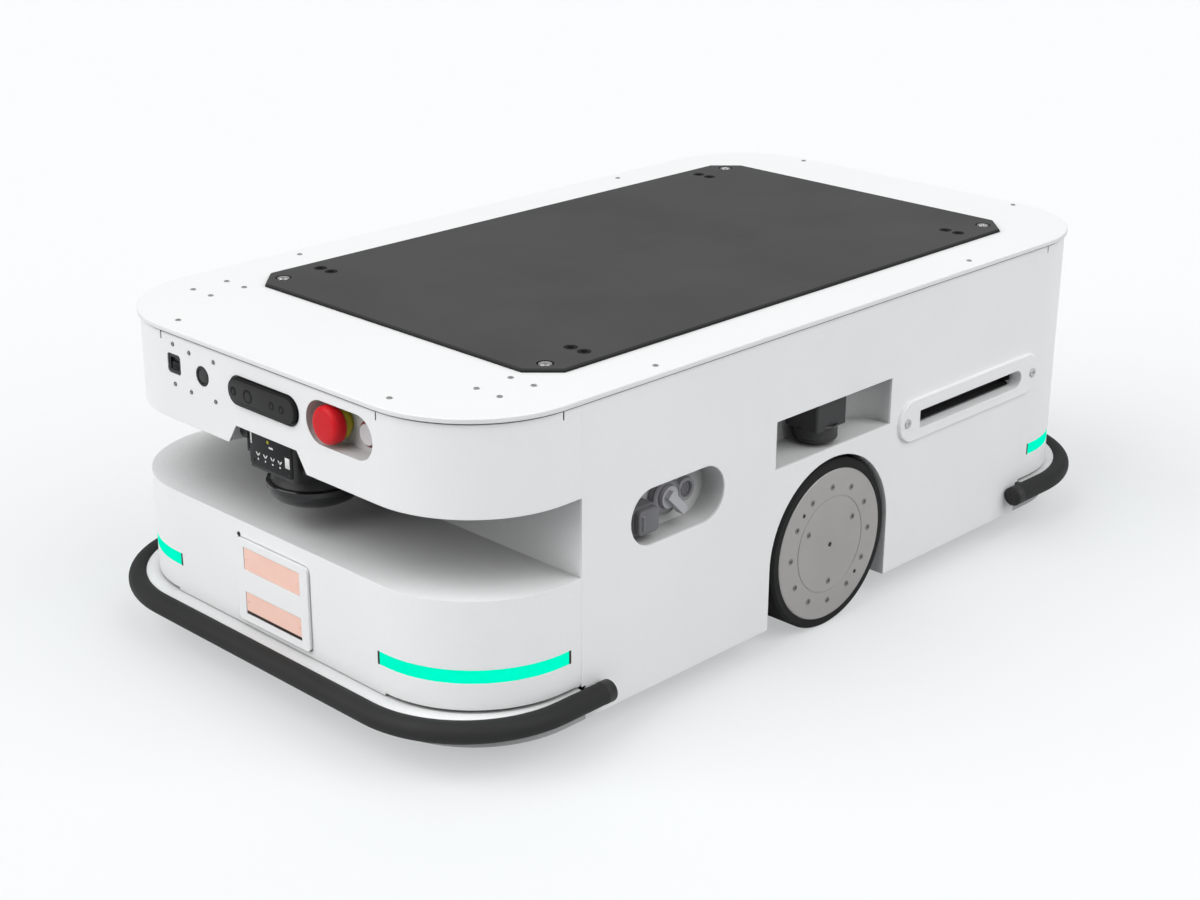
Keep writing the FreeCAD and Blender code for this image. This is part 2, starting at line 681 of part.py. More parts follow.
def depth_camera():
    """Stereo depth camera behind a black bezel that lines its window."""
    rim = 3
    depth = 7
    outer = stadium("bezel_outer", camera_length, camera_height, depth,
                    (front_x - depth + 0.4, 0, control_z), "x")
    inner = stadium("bezel_inner", camera_length - 2 * rim, camera_height - 2 * rim, depth + 2,
                    (front_x - depth - 1, 0, control_z), "x")
    node("camera_bezel", cut("bezel_cut", outer, inner))
    face = front_x - 4
    case = stadium("camera_case", camera_length - 2 * rim, camera_height - 2 * rim, 22,
                   (face - 22, 0, control_z), "x")
    lenses = [cylinder("lens", radius, 3, (face - 1.5, y, control_z), "x")
              for y, radius in ((-45, 4), (-21, 6.5), (18, 3.5), (34, 3.5))]
    node("depth_camera", cut("camera_cut", case, *lenses))


def front_ports():
    """A square and a round signal port behind the fascia."""
    depth = 22
    start = front_x - 1.2 - depth
    square = rounded_plate("square_port", port_width, port_height, 4, depth,
                           (start, square_y, control_z + 1.5), "x")
    slot = rounded_plate("square_slot", port_width - 8, port_height - 8, 2, 4,
                         (front_x - 4, square_y, control_z + 1.5), "x")
    round_port = cylinder("round_port", port_radius, depth, (start, round_y, control_z), "x")
    ring = cylinder("round_ring", port_radius - 3, 2, (front_x - 2.2, round_y, control_z), "x")
    node("front_ports", compound("port_set", [cut("square_done", square, slot),
                                              cut("round_done", round_port, ring)]))


def stop_button():
    """Pocket with a yellow collar, a push and twist-release stop button and a start button."""
    wall = 2
    back = front_x - skin - pocket_depth
    outer = stadium("pocket_outer", pocket_length + 2 * wall, pocket_height + 2 * wall,
                    pocket_depth, (back, pocket_y, control_z), "x")
    inner = stadium("pocket_inner", pocket_length, pocket_height, pocket_depth,
                    (back + wall, pocket_y, control_z), "x")
    stem_radius = 9
    floor = back + wall
    stop_bore = cylinder("stop_bore", running_gap + stem_radius, 20,
                         (back - 5, stop_y, control_z), "x")
    start_bore = cylinder("start_bore", start_radius - 4, 20, (back - 5, start_y, control_z), "x")
    node("control_pocket", cut("pocket_cut", outer, inner, stop_bore, start_bore))

    head_back = floor + 3 + stop_travel + seat_gap
    head_length = front_x + 4.5 - head_back
    collar = cylinder("collar_disc", stop_radius + 2, 3, (floor, stop_y, control_z), "x")
    node("stop_collar", cut("collar_cut", collar, stop_bore))
    stem = cylinder("stem_shaft", stem_radius, head_back - (back - 12),
                    (back - 12, stop_y, control_z), "x")
    spigot = cylinder("stem_spigot", 5, 9, (head_back, stop_y, control_z), "x")
    node("stop_stem", fuse("stem_fused", stem, spigot))

    front_face = head_length
    radius, waist = stop_radius, stop_radius - 3
    profile = [(running_gap + 5, 0), (waist, 0), (radius, 3.5), (radius, front_face - 2),
               (radius - 2, front_face), (0, front_face), (0, 9.3), (running_gap + 5, 9.3)]
    node("stop_head", turned("stop_head_body", profile, (head_back, stop_y, control_z), "x"))

    ring = cylinder("start_ring_disc", start_radius + 2.5, 9, (floor, start_y, control_z), "x")
    hole = cylinder("start_ring_hole", start_radius + running_gap, 11,
                    (floor - 1, start_y, control_z), "x")
    node("start_ring", cut("start_ring_cut", ring, hole))
    cap = cylinder("start_cap", start_radius, 10.5 - start_travel,
                   (floor + start_travel + seat_gap, start_y, control_z), "x")
    plunger = cylinder("start_plunger", start_radius - 4 - running_gap, 14,
                       (floor + start_travel + seat_gap - 14, start_y, control_z), "x")
    node("start_button", fuse("start_fused", cap, plunger))


def charging_panel():
    """Raised panel with two contact plates in shallow windows."""
    back = front_x - 8
    plate = rounded_plate("charge_plate", charge_width, charge_height, 6, 8 + charge_proud,
                          (back, 0, charge_z), "x")
    face = front_x + charge_proud
    window_depth = 1.6
    windows = []
    contacts = []
    for i, lift in enumerate((-0.5, 0.5)):
        z = charge_z + lift * contact_pitch
        windows.append(box("contact_window", (face - window_depth, -contact_width / 2,
                                              z - contact_height / 2),
                           (5, contact_width, contact_height)))
        drop = 4 if lift < 0 else 0.4
        contacts.append(box("contact_plate", (face - window_depth, 0.4 - contact_width / 2,
                                              z - contact_height / 2 + drop),
                            (1, contact_width - 0.8, contact_height - drop - 0.4)))
    node("charging_panel", cut("charge_cut", plate, *windows))
    node("charging_contacts", compound("contact_set", contacts))


def light_strips(name, sign):
    """Light diffusers that fill the windows of the two corners, flush with the skin."""
    top = light_bottom + light_height
    ring = cut(name + "_ring", body_slab(name + "_outer", light_bottom, top, 0.3),
               body_slab(name + "_inner", light_bottom - 1, top + 1, skin + 1))
    strips = [common(name + "_strip", ring, light_zone(name + "_zone", sign, side))
              for side in (1, -1)]
    node(name, compound(name + "_set", strips))


# ---------------------------------------------------------------- scanners
def front_scanner():
    """Inverted safety scanner: housing through the fascia floor, round window below it."""
    window_top = hood_bottom + hood_height
    neck = cone("scanner_neck", hood_radius - 5, scanner_half, 16, (hood_x, 0, window_top))
    case = box("scanner_case", (hood_x - 46, -scanner_half, window_top + 16),
               (100, 2 * scanner_half, scanner_top - window_top - 16))
    rounded = soften("scanner_rounded", case, 5, upright_edges)
    node("front_scanner_body", fuse("scanner_fused", neck, rounded))
    radius = hood_radius
    profile = [(0, 0), (radius - 5, 0), (radius, 5), (radius, hood_height - 4),
               (radius - 5, hood_height), (0, hood_height)]
    node("front_scanner_hood", turned("scanner_hood_body", profile, (hood_x, 0, hood_bottom), "z"))


def upright_edges(edge):
    return edge.BoundBox.ZLength > 5 and edge.BoundBox.XLength < 1e-6 and edge.BoundBox.YLength < 1e-6


def side_scanner():
    """Folded bay behind the opening over the wheel, and the small scanner in it."""
    middle = (wheel_x, side_y - skin, bay_floor)
    inner = rounded_plate("bay_inner", bay_length, 2 * bay_depth, bay_radius, bay_height, middle)
    outer = rounded_plate("bay_outer", bay_length + 2 * skin, 2 * (bay_depth + skin),
                          bay_radius + skin, bay_height + 2 * skin,
                          (wheel_x, side_y - skin, bay_floor - skin))
    outside = box("bay_outside", (wheel_x - bay_length, side_y - skin, bay_floor - 10),
                  (2 * bay_length, 100, bay_height + 20))
    bay = cut("bay_cut", outer, inner, outside)
    eye_bottom = bay_floor + 4.5
    case_bottom = eye_bottom + 16
    case = box("eye_case", (wheel_x - 26, eye_y - 23, case_bottom),
               (52, 46, bay_floor + bay_height - case_bottom))
    eye = cylinder("eye_window", eye_radius, 16, (wheel_x, eye_y, eye_bottom))
    bevelled = soften("eye_bevelled", eye, 2, at_height(eye_bottom), "Chamfer")
    scanner = fuse("eye_fused", bevelled, soften("eye_case_soft", case, 3, upright_edges))
    for side, suffix in (("left", ""), ("right", "_r")):
        node(side + "_scanner_bay", bay if side == "left" else mirror("bay_mirror", bay))
        node(side + "_scanner", scanner if side == "left" else mirror("eye_mirror", scanner))


# ---------------------------------------------------------------- side details
def connector_pocket():
    """Recessed pocket on the left with the charge socket, the main switch and a service port."""
    wall = 2
    back = side_y - skin - side_pocket_depth
    outer = stadium("side_pocket_outer", side_pocket_length + 2 * wall,
                    side_pocket_height + 2 * wall, side_pocket_depth,
                    (side_pocket_x, back, side_pocket_z), "y")
    inner = stadium("side_pocket_inner", side_pocket_length, side_pocket_height,
                    side_pocket_depth, (side_pocket_x, back + wall, side_pocket_z), "y")
    floor = back + wall
    switch_x, switch_z, switch_radius = side_pocket_x - 6, side_pocket_z + 2, 20
    pin_radius = 5
    bore = cylinder("switch_bore", pin_radius + running_gap, 40,
                    (switch_x, back - 5, switch_z), "y")
    node("side_pocket", cut("side_pocket_cut", outer, inner, bore))

    socket = rounded_plate("charge_socket", 34, 31, 6, 16,
                           (side_pocket_x + 36, floor, side_pocket_z - 9), "y")
    port = cylinder("service_port", 12, 5, (side_pocket_x - 38, floor, side_pocket_z), "y")
    port_ring = cylinder("service_port_hole", 8, 5, (side_pocket_x - 38, floor + 3.5,
                                                     side_pocket_z), "y")
    node("pocket_sockets", compound("socket_set", [socket, cut("port_done", port, port_ring)]))
    base = cylinder("switch_disc", switch_radius, 8, (switch_x, floor, switch_z), "y")
    node("switch_base", cut("switch_base_cut", base, bore))

    knob = cylinder("knob_disc", 12, 5, (switch_x, floor + 8 + seat_gap, switch_z), "y")
    lever = compound("lever_turned", [box("knob_lever", (-26, 0, -5), (34, 11, 10))])
    place(lever, (switch_x, floor + 8 + seat_gap, switch_z), Rotation(Vector(0, 1, 0), -45))
    pin = cylinder("knob_pin", pin_radius, 24, (switch_x, floor + 8 + seat_gap - 24, switch_z), "y")
    node("switch_knob", fuse("knob_fused", knob, lever, pin))


def carrying_handle():
    """Handle plate with round ends on each side, with a finger slot into a closed cup."""
    behind = side_y - grip_depth
    plate = stadium("handle_plate", handle_length, handle_height, handle_proud,
                    (handle_x, side_y, handle_z), "y")
    rounded = soften("handle_rounded", plate, 1.2, at_depth(side_y + handle_proud), "Chamfer")
    cup = stadium("handle_cup", grip_length + 6, grip_height + 12, grip_depth,
                  (handle_x, behind, handle_z), "y")
    slot = stadium("grip_slot", grip_length, grip_height, grip_depth + handle_proud,
                   (handle_x, behind + 2, handle_z - 1), "y")
    square_end = box("grip_square_end", (handle_x, behind + 2, handle_z - 1 - grip_height / 2),
                     (grip_length / 2, grip_depth + handle_proud, grip_height))
    cavity = stadium("grip_cavity", grip_length + 2, grip_height + 8, grip_depth - 12,
                     (handle_x, behind + 2, handle_z), "y")
    handle = cut("handle_cut", fuse("handle_whole", rounded, cup), slot, square_end, cavity)
    node("left_handle", handle)
    node("right_handle", mirror("handle_mirror", handle))


def at_depth(depth):
    """Picks the edges that lie in one plane across Y."""
    level = size(depth).value
    return lambda edge: (abs(edge.BoundBox.YMin - level) < 1e-6
                         and abs(edge.BoundBox.YMax - level) < 1e-6)


def panel_screws():
    """Low screw heads on the cover, round the ports and on the handles."""
    heads = []
    edge_x, edge_y = front_x - 20.5, side_y - 16
    spots = [(front_x - inset_x, side * (side_y - inset_y))
             for inset_x in (97, 142)
             for side, inset_y in ((1, 90.5), (1, 58), (-1, 79.5), (-1, 47))]
    spots += [(edge_x, side * (side_y - 128.5)) for side in (1, -1)]
    spots += [(end * body_length / 4, side * edge_y) for end in (1, -1) for side in (1, -1)]
    spots += [(10.5 - front_x, side * (side_y - 127.5)) for side in (1, -1)]
    for x, y in spots:
        heads.append(hexagon("cover_screw", 2.5, 0.6, (x, y, cover_top)))
    for y, z in ((square_y, 23.5), (square_y, -20.5), (round_y - 21.3, 20.5),
                 (round_y - 21.3, -22.5), (round_y + 21.3, 20.5), (round_y + 21.3, -22.5)):
        heads.append(hexagon("port_screw", 2.2, 0.6, (front_x, y, control_z + z), "x"))
    for sign in (1, -1):
        for end in (1, -1):
            x = handle_x + end * (handle_length / 2 - 14)
            y = side_y + handle_proud
            start = y if sign > 0 else -(y + 0.8)
            heads.append(hexagon("handle_screw", 5, 0.8, (x, start, handle_z), "y"))
    node("panel_screws", compound("screw_set", heads))


# ---------------------------------------------------------------- chassis
def chassis():
    """Floor pan of flat plates round the caster and wheel openings, and the skirts that stand on
    its rim under the bumpers."""
    slab = body_slab("pan_slab", ground_clearance, floor_top, skin)
    thick = floor_top - ground_clearance
    hole = caster_radius + caster_trail + 6
    well = wheel_radius + 12
    well_y = side_y - wheel_width - 10
    hole_in, hole_out = caster_y - hole, caster_y + hole
    near, far = caster_x - hole, caster_x + hole
    plates = [box("pan_middle", (-far, -hole_in, ground_clearance), (2 * far, 2 * hole_in, thick))]
    for side in (1, -1):
        def strip(name, low_x, high_x, low_y, high_y):
            start = low_y if side > 0 else -high_y
            return box(name, (low_x, start, ground_clearance),
                       (high_x - low_x, high_y - low_y, thick))
        plates.append(strip("pan_wheel", wheel_x - well, wheel_x + well, hole_in, well_y))
        plates.append(strip("pan_front_bay", wheel_x + well, near, hole_in, hole_out))
        plates.append(strip("pan_rear_bay", -near, wheel_x - well, hole_in, hole_out))
        plates.append(common("pan_front_edge", slab, strip("pan_front_edge_zone", wheel_x + well,
                                                           far, hole_out, side_y)))
        plates.append(common("pan_rear_edge", slab, strip("pan_rear_edge_zone", -far,
                                                          wheel_x - well, hole_out, side_y)))
    for end in (1, -1):
        low_x = far if end > 0 else -front_x
        plates.append(common("pan_end", slab, box("pan_end_zone", (low_x, -side_y, 0),
                                                  (front_x - far, 2 * side_y, cover_top))))
    skirt = cut("pan_skirt", body_slab("skirt_outer", ground_clearance, plate_bottom - seat_gap),
                body_slab("skirt_inner", ground_clearance - 1, plate_bottom + 1, skin),
                box("skirt_gap", (-skirt_end, -body_width, 0),
                    (2 * skirt_end, 2 * body_width, cover_top)))
    node("chassis_base", compound("pan_and_skirts", plates + [skirt]))


def frame():
    """Welded frame of bars and plates, each butted on its neighbours: rails on the floor pan,
    plates over the casters, posts and beams under the cover, lugs for the swing arms and seats
    for their springs."""
    inner = caster_x - bridge_length / 2
    post_x = inner + 3
    beam_y = side_y - 75
    beam_low = cover_bottom - beam
    plate = 6
    bars = []
    for side in (1, -1):
        bars.append(box("rail", (-inner, side * 65 - rail / 2, floor_top), (2 * inner, rail, rail)))
        bars.append(box("top_beam", (30 - front_x, side * beam_y - 12, beam_low),
                        (2 * (front_x - 30), 24, beam)))
        for end in (1, -1):
            low_x = post_x if end > 0 else -(post_x + 30)
            bars.append(box("post", (low_x, side * beam_y - 12, caster_height + plate),
                            (30, 24, beam_low - caster_height - plate)))
    for end in (1, -1):
        low_x = inner if end > 0 else -(inner + bridge_length)
        bars.append(box("bridge", (low_x, 45 - side_y, caster_height),
                        (bridge_length, 2 * (side_y - 45), plate)))
        web_x = inner if end > 0 else -(inner + plate)
        bars.append(box("bridge_web", (web_x, -90, floor_top),
                        (plate, 180, caster_height - floor_top)))
        cross_x = post_x + 3 if end > 0 else -(post_x + 27)
        bars.append(box("top_cross", (cross_x, 12 - beam_y, beam_low),
                        (24, 2 * (beam_y - 12), beam)))
    # the front scanner hangs from the front cross beam on a plate
    hanger_x = post_x + 3
    bars.append(box("scanner_plate", (hanger_x, -30, scanner_top), (150, 60, 5)))
    bars.append(box("scanner_hanger", (hanger_x, -30, scanner_top + 5),
                    (24, 60, beam_low - scanner_top - 5)))
    for side in (1, -1):
        middle = side * (arm_y + arm_width / 2)
        reach = arm_width / 2 + seat_gap
        for low_y in (middle + reach, middle - reach - 10):
            bars.append(box("lug", (pivot_x - 14, low_y, floor_top),
                            (28, 10, pivot_z + 14 - floor_top)))
        bars.append(cylinder("pivot_pin", pivot_radius, 2 * reach,
                             (pivot_x, middle - reach, pivot_z), "y"))
        bars.append(box("spring_seat", (spring_x - 18, middle - 18, spring_top), (36, 36, plate)))
        bars.append(box("seat_post", (spring_x - 18, middle - 18, spring_top + plate),
                        (8, 36, cover_bottom - spring_top - plate)))
        arm_end = beam_y - 12
        low_y = side * (arm_end - 6) - 6
        bars.append(box("seat_tie", (spring_x - 10, low_y, beam_low), (24, 12, beam)))
    node("chassis_frame", compound("frame_bars", bars))


def power_and_control():
    """Battery pack behind the wheels and control box ahead of them, which stand on the rails."""
    rail_top = floor_top + rail
    outer_end = caster_x - 95
    half_width = arm_y - 13
    battery = box("battery_case", (-outer_end, -half_width, rail_top),
                  (battery_length, 2 * half_width, battery_height))
    node("battery_pack", soften("battery_soft", battery, 6, upright_edges, "Chamfer"))
    control = box("control_case", (outer_end - battery_length, -half_width, rail_top),
                  (battery_length, 2 * half_width, control_height))
    node("control_box", soften("control_soft", control, 6, upright_edges, "Chamfer"))


# ---------------------------------------------------------------- bumpers
def bumper_tube(name):
    """Round rubber profile that wraps the front: three straights and two quarter turns."""
    x = front_x + bumper_reach
    y = side_y + bumper_side
    turn_x, turn_y = x - bumper_corner, y - bumper_corner
    parts = [cylinder(name + "_front", bumper_radius, 2 * turn_y, (x, -turn_y, bumper_z), "y")]
    for side in (1, -1):
        parts.append(cylinder(name + "_side", bumper_radius, turn_x - bumper_end,
                              (bumper_end, side * y, bumper_z), "x"))
        parts.append(quarter_torus(name + "_turn", bumper_corner, bumper_radius,
                                   (turn_x, side * turn_y, bumper_z), 0 if side > 0 else -90))
    return fuse(name, *parts)


def bumpers():
    """Sprung bumpers: a plate that slides over the skirt, with the tube pressed on its edge."""
    x = front_x + bumper_reach
    y = side_y + bumper_side
    outer = rounded_plate("plate_outer", 2 * x, 2 * y, bumper_corner, plate_thickness,
                          (0, 0, plate_bottom))
    inner = rounded_plate("plate_inner", 2 * (front_x - plate_inset), 2 * (side_y - plate_inset),
                          corner_radius - plate_inset / 2, plate_thickness + 2,
                          (0, 0, plate_bottom - 1))
    behind = box("plate_behind", (-body_length, -body_width, plate_bottom - 1),
                 (body_length + skirt_end + bumper_travel + 1, 2 * body_width, plate_thickness + 2))
    plate = cut("bumper_plate", outer, inner, behind)
    tube = bumper_tube("tube")
    carrier = cut("carrier_trimmed", plate, tube)
    for end, normal in (("front", None), ("rear", (1, 0, 0))):
        if normal is None:
            node("front_bumper_plate", carrier)
            node("front_bumper_tube", tube)
        else:
            node("rear_bumper_plate", mirror("rear_plate_mirror", carrier, normal))
            node("rear_bumper_tube", mirror("rear_tube_mirror", tube, normal))


# ---------------------------------------------------------------- drive and casters
def drive_hub():
    """Turned hub: stub shaft, rim, and an outer disc with a fine groove."""
    stub = 22
    inner = wheel_width - disc_thickness
    face = wheel_width + 0.6
    groove = 57
    profile = [(0, -stub), (shaft_radius, -stub), (shaft_radius, 0), (rim_radius, 0),
               (rim_radius, inner), (disc_radius, inner), (disc_radius, face - 1),
               (disc_radius - 1, face), (groove + 0.6, face), (groove + 0.6, face - 0.5),
               (groove - 0.6, face - 0.5), (groove - 0.6, face), (0, face)]
    return turned("hub_body", profile, (wheel_x, side_y - wheel_width, wheel_radius), "y")


def drive_tyre():
    """Solid tyre bonded on the rim, with bevelled shoulders and a step for the hub's disc."""
    inner = wheel_width - disc_thickness
    shoulder = 3
    profile = [(rim_radius, 0), (wheel_radius - shoulder, 0), (wheel_radius, shoulder),
               (wheel_radius, wheel_width - shoulder), (wheel_radius - shoulder, wheel_width),
               (disc_radius, wheel_width), (disc_radius, inner), (rim_radius, inner)]
    return turned("tyre_body", profile, (wheel_x, side_y - wheel_width, wheel_radius), "y")


def drive_unit():
    """Swing arm with the gearbox and motor bolted through it."""
    box_outer = side_y - wheel_width - 0.5
    gearbox = cylinder("gearbox", 45, box_outer - (arm_y + arm_width),
                       (wheel_x, arm_y + arm_width, wheel_radius), "y")
    motor = cylinder("motor", 40, arm_y - 95, (wheel_x, 95, wheel_radius), "y")
    cap = cylinder("motor_cap", 34, 8, (wheel_x, 87, wheel_radius), "y")
    low, high = wheel_radius - 32, wheel_radius + 46
    seat = spring_top - 62
    outline = [(pivot_x + 14, -(pivot_z - 14)), (pivot_x + 14, -(pivot_z + 14)),
               (wheel_x + 45, -high), (wheel_x - 45, -high), (spring_x + 16, -seat),
               (spring_x - 16, -seat), (spring_x - 16, -(seat - 18)), (wheel_x - 45, -low),
               (wheel_x + 45, -low)]
    arm = prism("arm", outline, arm_width, (0, arm_y, 0), "y")
    shaft_bore = cylinder("shaft_bore", shaft_radius + running_gap, 24,
                          (wheel_x, box_outer - 24, wheel_radius), "y")
    pin_bore = cylinder("pin_bore", pivot_radius + running_gap, arm_width + 10,
                        (pivot_x, arm_y - 5, pivot_z), "y")
    return cut("drive_unit_cut", fuse("drive_unit_whole", gearbox, motor, cap, arm),
               shaft_bore, pin_bore)


def suspension_spring():
    """Coil spring between the arm's tail and its seat, kept as a plain sleeve."""
    y = arm_y + arm_width / 2
    bottom = spring_top - 62
    sleeve = cylinder("spring_outer", 14, spring_top - bottom, (spring_x, y, bottom))
    hole = cylinder("spring_inner", 9, spring_top - bottom + 2, (spring_x, y, bottom - 1))
    return cut("spring_cut", sleeve, hole)


def drive_wheels():
    pieces = (("hub", drive_hub()), ("tyre", drive_tyre()), ("drive_unit", drive_unit()),
              ("spring", suspension_spring()))
    for name, piece in pieces:
        node("left_" + name, piece)
        node("right_" + name, mirror(name + "_mirror", piece))


def caster(name, x, y):
    """Swivel caster: a fork that turns under its plate, and a wheel on the fork's axle. At rest
    the wheel trails behind the swivel."""
    axle_x = x - caster_trail
    top = caster_height - 5 - seat_gap
    cheek = 4
    span = caster_width / 2 + 1
    crown = cylinder(name + "_crown", 27, 8, (x, y, top - 8))
    pin = cylinder(name + "_pin", king_radius, 6, (x, y, top - 1))
    outline = [(-x - 16, -top), (-x - 16, 8 - top), (-axle_x - 11, -caster_radius - 4),
               (-axle_x - 7, 10 - caster_radius), (-axle_x + 7, 10 - caster_radius),
               (-axle_x + 11, -caster_radius - 4), (-x + 16, 8 - top), (-x + 16, -top)]
    outline = [(-px, pz) for px, pz in outline]
    cheeks = [prism(name + "_cheek", outline, cheek, (0, low_y, 0), "y")
              for low_y in (y + span, y - span - cheek)]
    bridge = box(name + "_bridge", (x - 16, y - span, top - 8), (32, 2 * span, 8))
    axle = cylinder(name + "_axle", axle_radius, 2 * (span + cheek),
                    (axle_x, y - span - cheek, caster_radius), "y")
    node(name + "_fork", fuse(name + "_fork_fused", crown, pin, bridge, axle, *cheeks))
    half = caster_width / 2
    tread = caster_radius - 2.5
    profile = [(axle_radius + running_gap, 0), (tread, 0), (caster_radius, 3),
               (caster_radius, caster_width - 3), (tread, caster_width),
               (axle_radius + running_gap, caster_width)]
    node(name + "_wheel", turned(name + "_wheel_body", profile,
                                 (axle_x, y - half, caster_radius), "y"))


def casters():
    plates = []
    for end, sx in (("front", 1), ("rear", -1)):
        for side, sy in (("left", 1), ("right", -1)):
            x, y = sx * caster_x, sy * caster_y
            plate = box("caster_plate", (x - 48, y - 42, caster_height - 5), (96, 84, 5))
            bore = cylinder("caster_bore", king_radius + running_gap, 20,
                            (x, y, caster_height - 10))
            plates.append(cut("caster_plate_cut", plate, bore))
            caster("%s_%s_caster" % (end, side), x, y)
    node("caster_plates", compound("caster_plate_set", plates))


# ---------------------------------------------------------------- assembly
front_fascia()
front_lower_shell()
rear_shell()
left_panel = node("left_side_panel", side_panel("left_panel", True))
node("right_side_panel", mirror("right_panel_mirror", side_panel("plain_panel", False)))
top_cover()
payload_deck()
depth_camera()
front_ports()
stop_button()
charging_panel()
light_strips("front_lights", 1)
light_strips("rear_lights", -1)
front_scanner()
side_scanner()
connector_pocket()
carrying_handle()
panel_screws()
chassis()
frame()
power_and_control()
bumpers()
drive_wheels()
casters()

doc.recompute()
for obj in doc.Objects:
    if "Invalid" in obj.State or "Error" in obj.State:
        raise RuntimeError("%s is %s" % (obj.Name, obj.State))
os.makedirs("parts", exist_ok=True)
for obj in nodes:
    shape = obj.Shape
    if shape.isNull() or not shape.isValid() or not shape.Solids:
        raise RuntimeError("%s has no sound solid" % obj.Label)
    shape.exportStep(os.path.join("parts", obj.Label + ".step"))
print("%d nodes" % len(nodes))
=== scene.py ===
import math

import bmesh
import bpy
from mathutils import Matrix, Vector


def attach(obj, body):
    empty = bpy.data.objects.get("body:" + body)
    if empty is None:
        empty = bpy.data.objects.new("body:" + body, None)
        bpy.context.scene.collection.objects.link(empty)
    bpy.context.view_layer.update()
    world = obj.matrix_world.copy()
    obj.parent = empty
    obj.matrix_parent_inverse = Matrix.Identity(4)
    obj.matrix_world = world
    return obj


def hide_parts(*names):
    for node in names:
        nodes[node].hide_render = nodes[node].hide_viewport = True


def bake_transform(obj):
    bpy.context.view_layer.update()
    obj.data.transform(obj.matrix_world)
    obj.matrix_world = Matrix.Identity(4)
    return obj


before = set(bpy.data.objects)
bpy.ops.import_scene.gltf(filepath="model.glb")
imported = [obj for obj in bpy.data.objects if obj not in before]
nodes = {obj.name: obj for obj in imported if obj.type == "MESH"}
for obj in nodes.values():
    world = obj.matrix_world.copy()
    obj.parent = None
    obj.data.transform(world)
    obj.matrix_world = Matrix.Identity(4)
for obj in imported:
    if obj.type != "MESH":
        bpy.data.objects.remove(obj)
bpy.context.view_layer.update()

mm = 0.001
scene = bpy.context.scene
print("frame loaded:", len(nodes), "CAD nodes")


# ---- small helpers for nodes and materials
def addNode(tree, kind, values=None, **settings):
    node = tree.nodes.new("ShaderNode" + kind)
    for key, value in settings.items():
        setattr(node, key, value)
    setInputs(node, values or {})
    return node


def addMath(tree, operation, value=None):
    return addNode(tree, "Math", {} if value is None else {1: value}, operation=operation)


def addMix(tree, values=None, **settings):
    return addNode(tree, "Mix", values, data_type="RGBA", **settings)


# each row is an output's node and socket, then an input's node and socket
def join(tree, *rows):
    for source, output, target, socket in rows:
        tree.links.new(source.outputs[output], target.inputs[socket])


def setInputs(node, values):
    for key, value in values.items():
        node.inputs[key].default_value = value


# a tone is one grey value or a red, green and blue triple
def colour(tone):
    return (*(tone if isinstance(tone, tuple) else (tone,) * 3), 1)


def newMaterial(name):
    material = bpy.data.materials.new(name)
    material.use_nodes = True
    tree = material.node_tree
    return material, tree, tree.nodes["Principled BSDF"]


def newGroup(name, inputs, outputs):
    tree = bpy.data.node_groups.new(name, "ShaderNodeTree")
    for label, kind, default in inputs:
        socket = tree.interface.new_socket(name=label, in_out="INPUT", socket_type=kind)
        if default is not None:
            socket.default_value = default
    for label, kind in outputs:
        tree.interface.new_socket(name=label, in_out="OUTPUT", socket_type=kind)
    return tree, tree.nodes.new("NodeGroupInput"), tree.nodes.new("NodeGroupOutput")


def useGroup(tree, group, values):
    node = tree.nodes.new("ShaderNodeGroup")
    node.node_tree = group
    setInputs(node, values)
    return node


# coat grain: the fine orange peel of a sprayed or moulded surface, as a height
def makeCoatGrain():
    tree, start, end = newGroup("coatGrain", [
        ("Position", "NodeSocketVector", None), ("Grain size", "NodeSocketFloat", 900.0),
        ("Broad share", "NodeSocketFloat", 0.4), ("Speckle", "NodeSocketFloat", 0.03)],
        [("Height", "NodeSocketFloat"), ("Shade", "NodeSocketFloat")])
    fine = addNode(tree, "TexNoise", {"Detail": 3.0, "Roughness": 0.6})
    broad = addNode(tree, "TexNoise", {"Detail": 1.0})
    quarter = addMath(tree, "MULTIPLY", 0.22)
    blend = addNode(tree, "Mix")
    join(tree, (start, "Position", fine, "Vector"), (start, "Position", broad, "Vector"),
        (start, "Grain size", fine, "Scale"), (start, "Grain size", quarter, 0),
        (quarter, 0, broad, "Scale"), (start, "Broad share", blend, "Factor"),
        (fine, "Fac", blend, "A"), (broad, "Fac", blend, "B"),
        (blend, "Result", end, "Height"))
    spots = addNode(tree, "TexNoise", {"Detail": 2.0, "Roughness": 0.8})
    centred = addMath(tree, "SUBTRACT", 0.5)
    scaled = addMath(tree, "MULTIPLY")
    shade = addMath(tree, "ADD", 1.0)
    half = addMath(tree, "MULTIPLY", 0.45)
    join(tree, (start, "Position", spots, "Vector"), (start, "Grain size", half, 0),
        (half, 0, spots, "Scale"), (spots, "Fac", centred, 0), (centred, 0, scaled, 0),
        (start, "Speckle", scaled, 1), (scaled, 0, shade, 0), (shade, 0, end, "Shade"))
    return tree


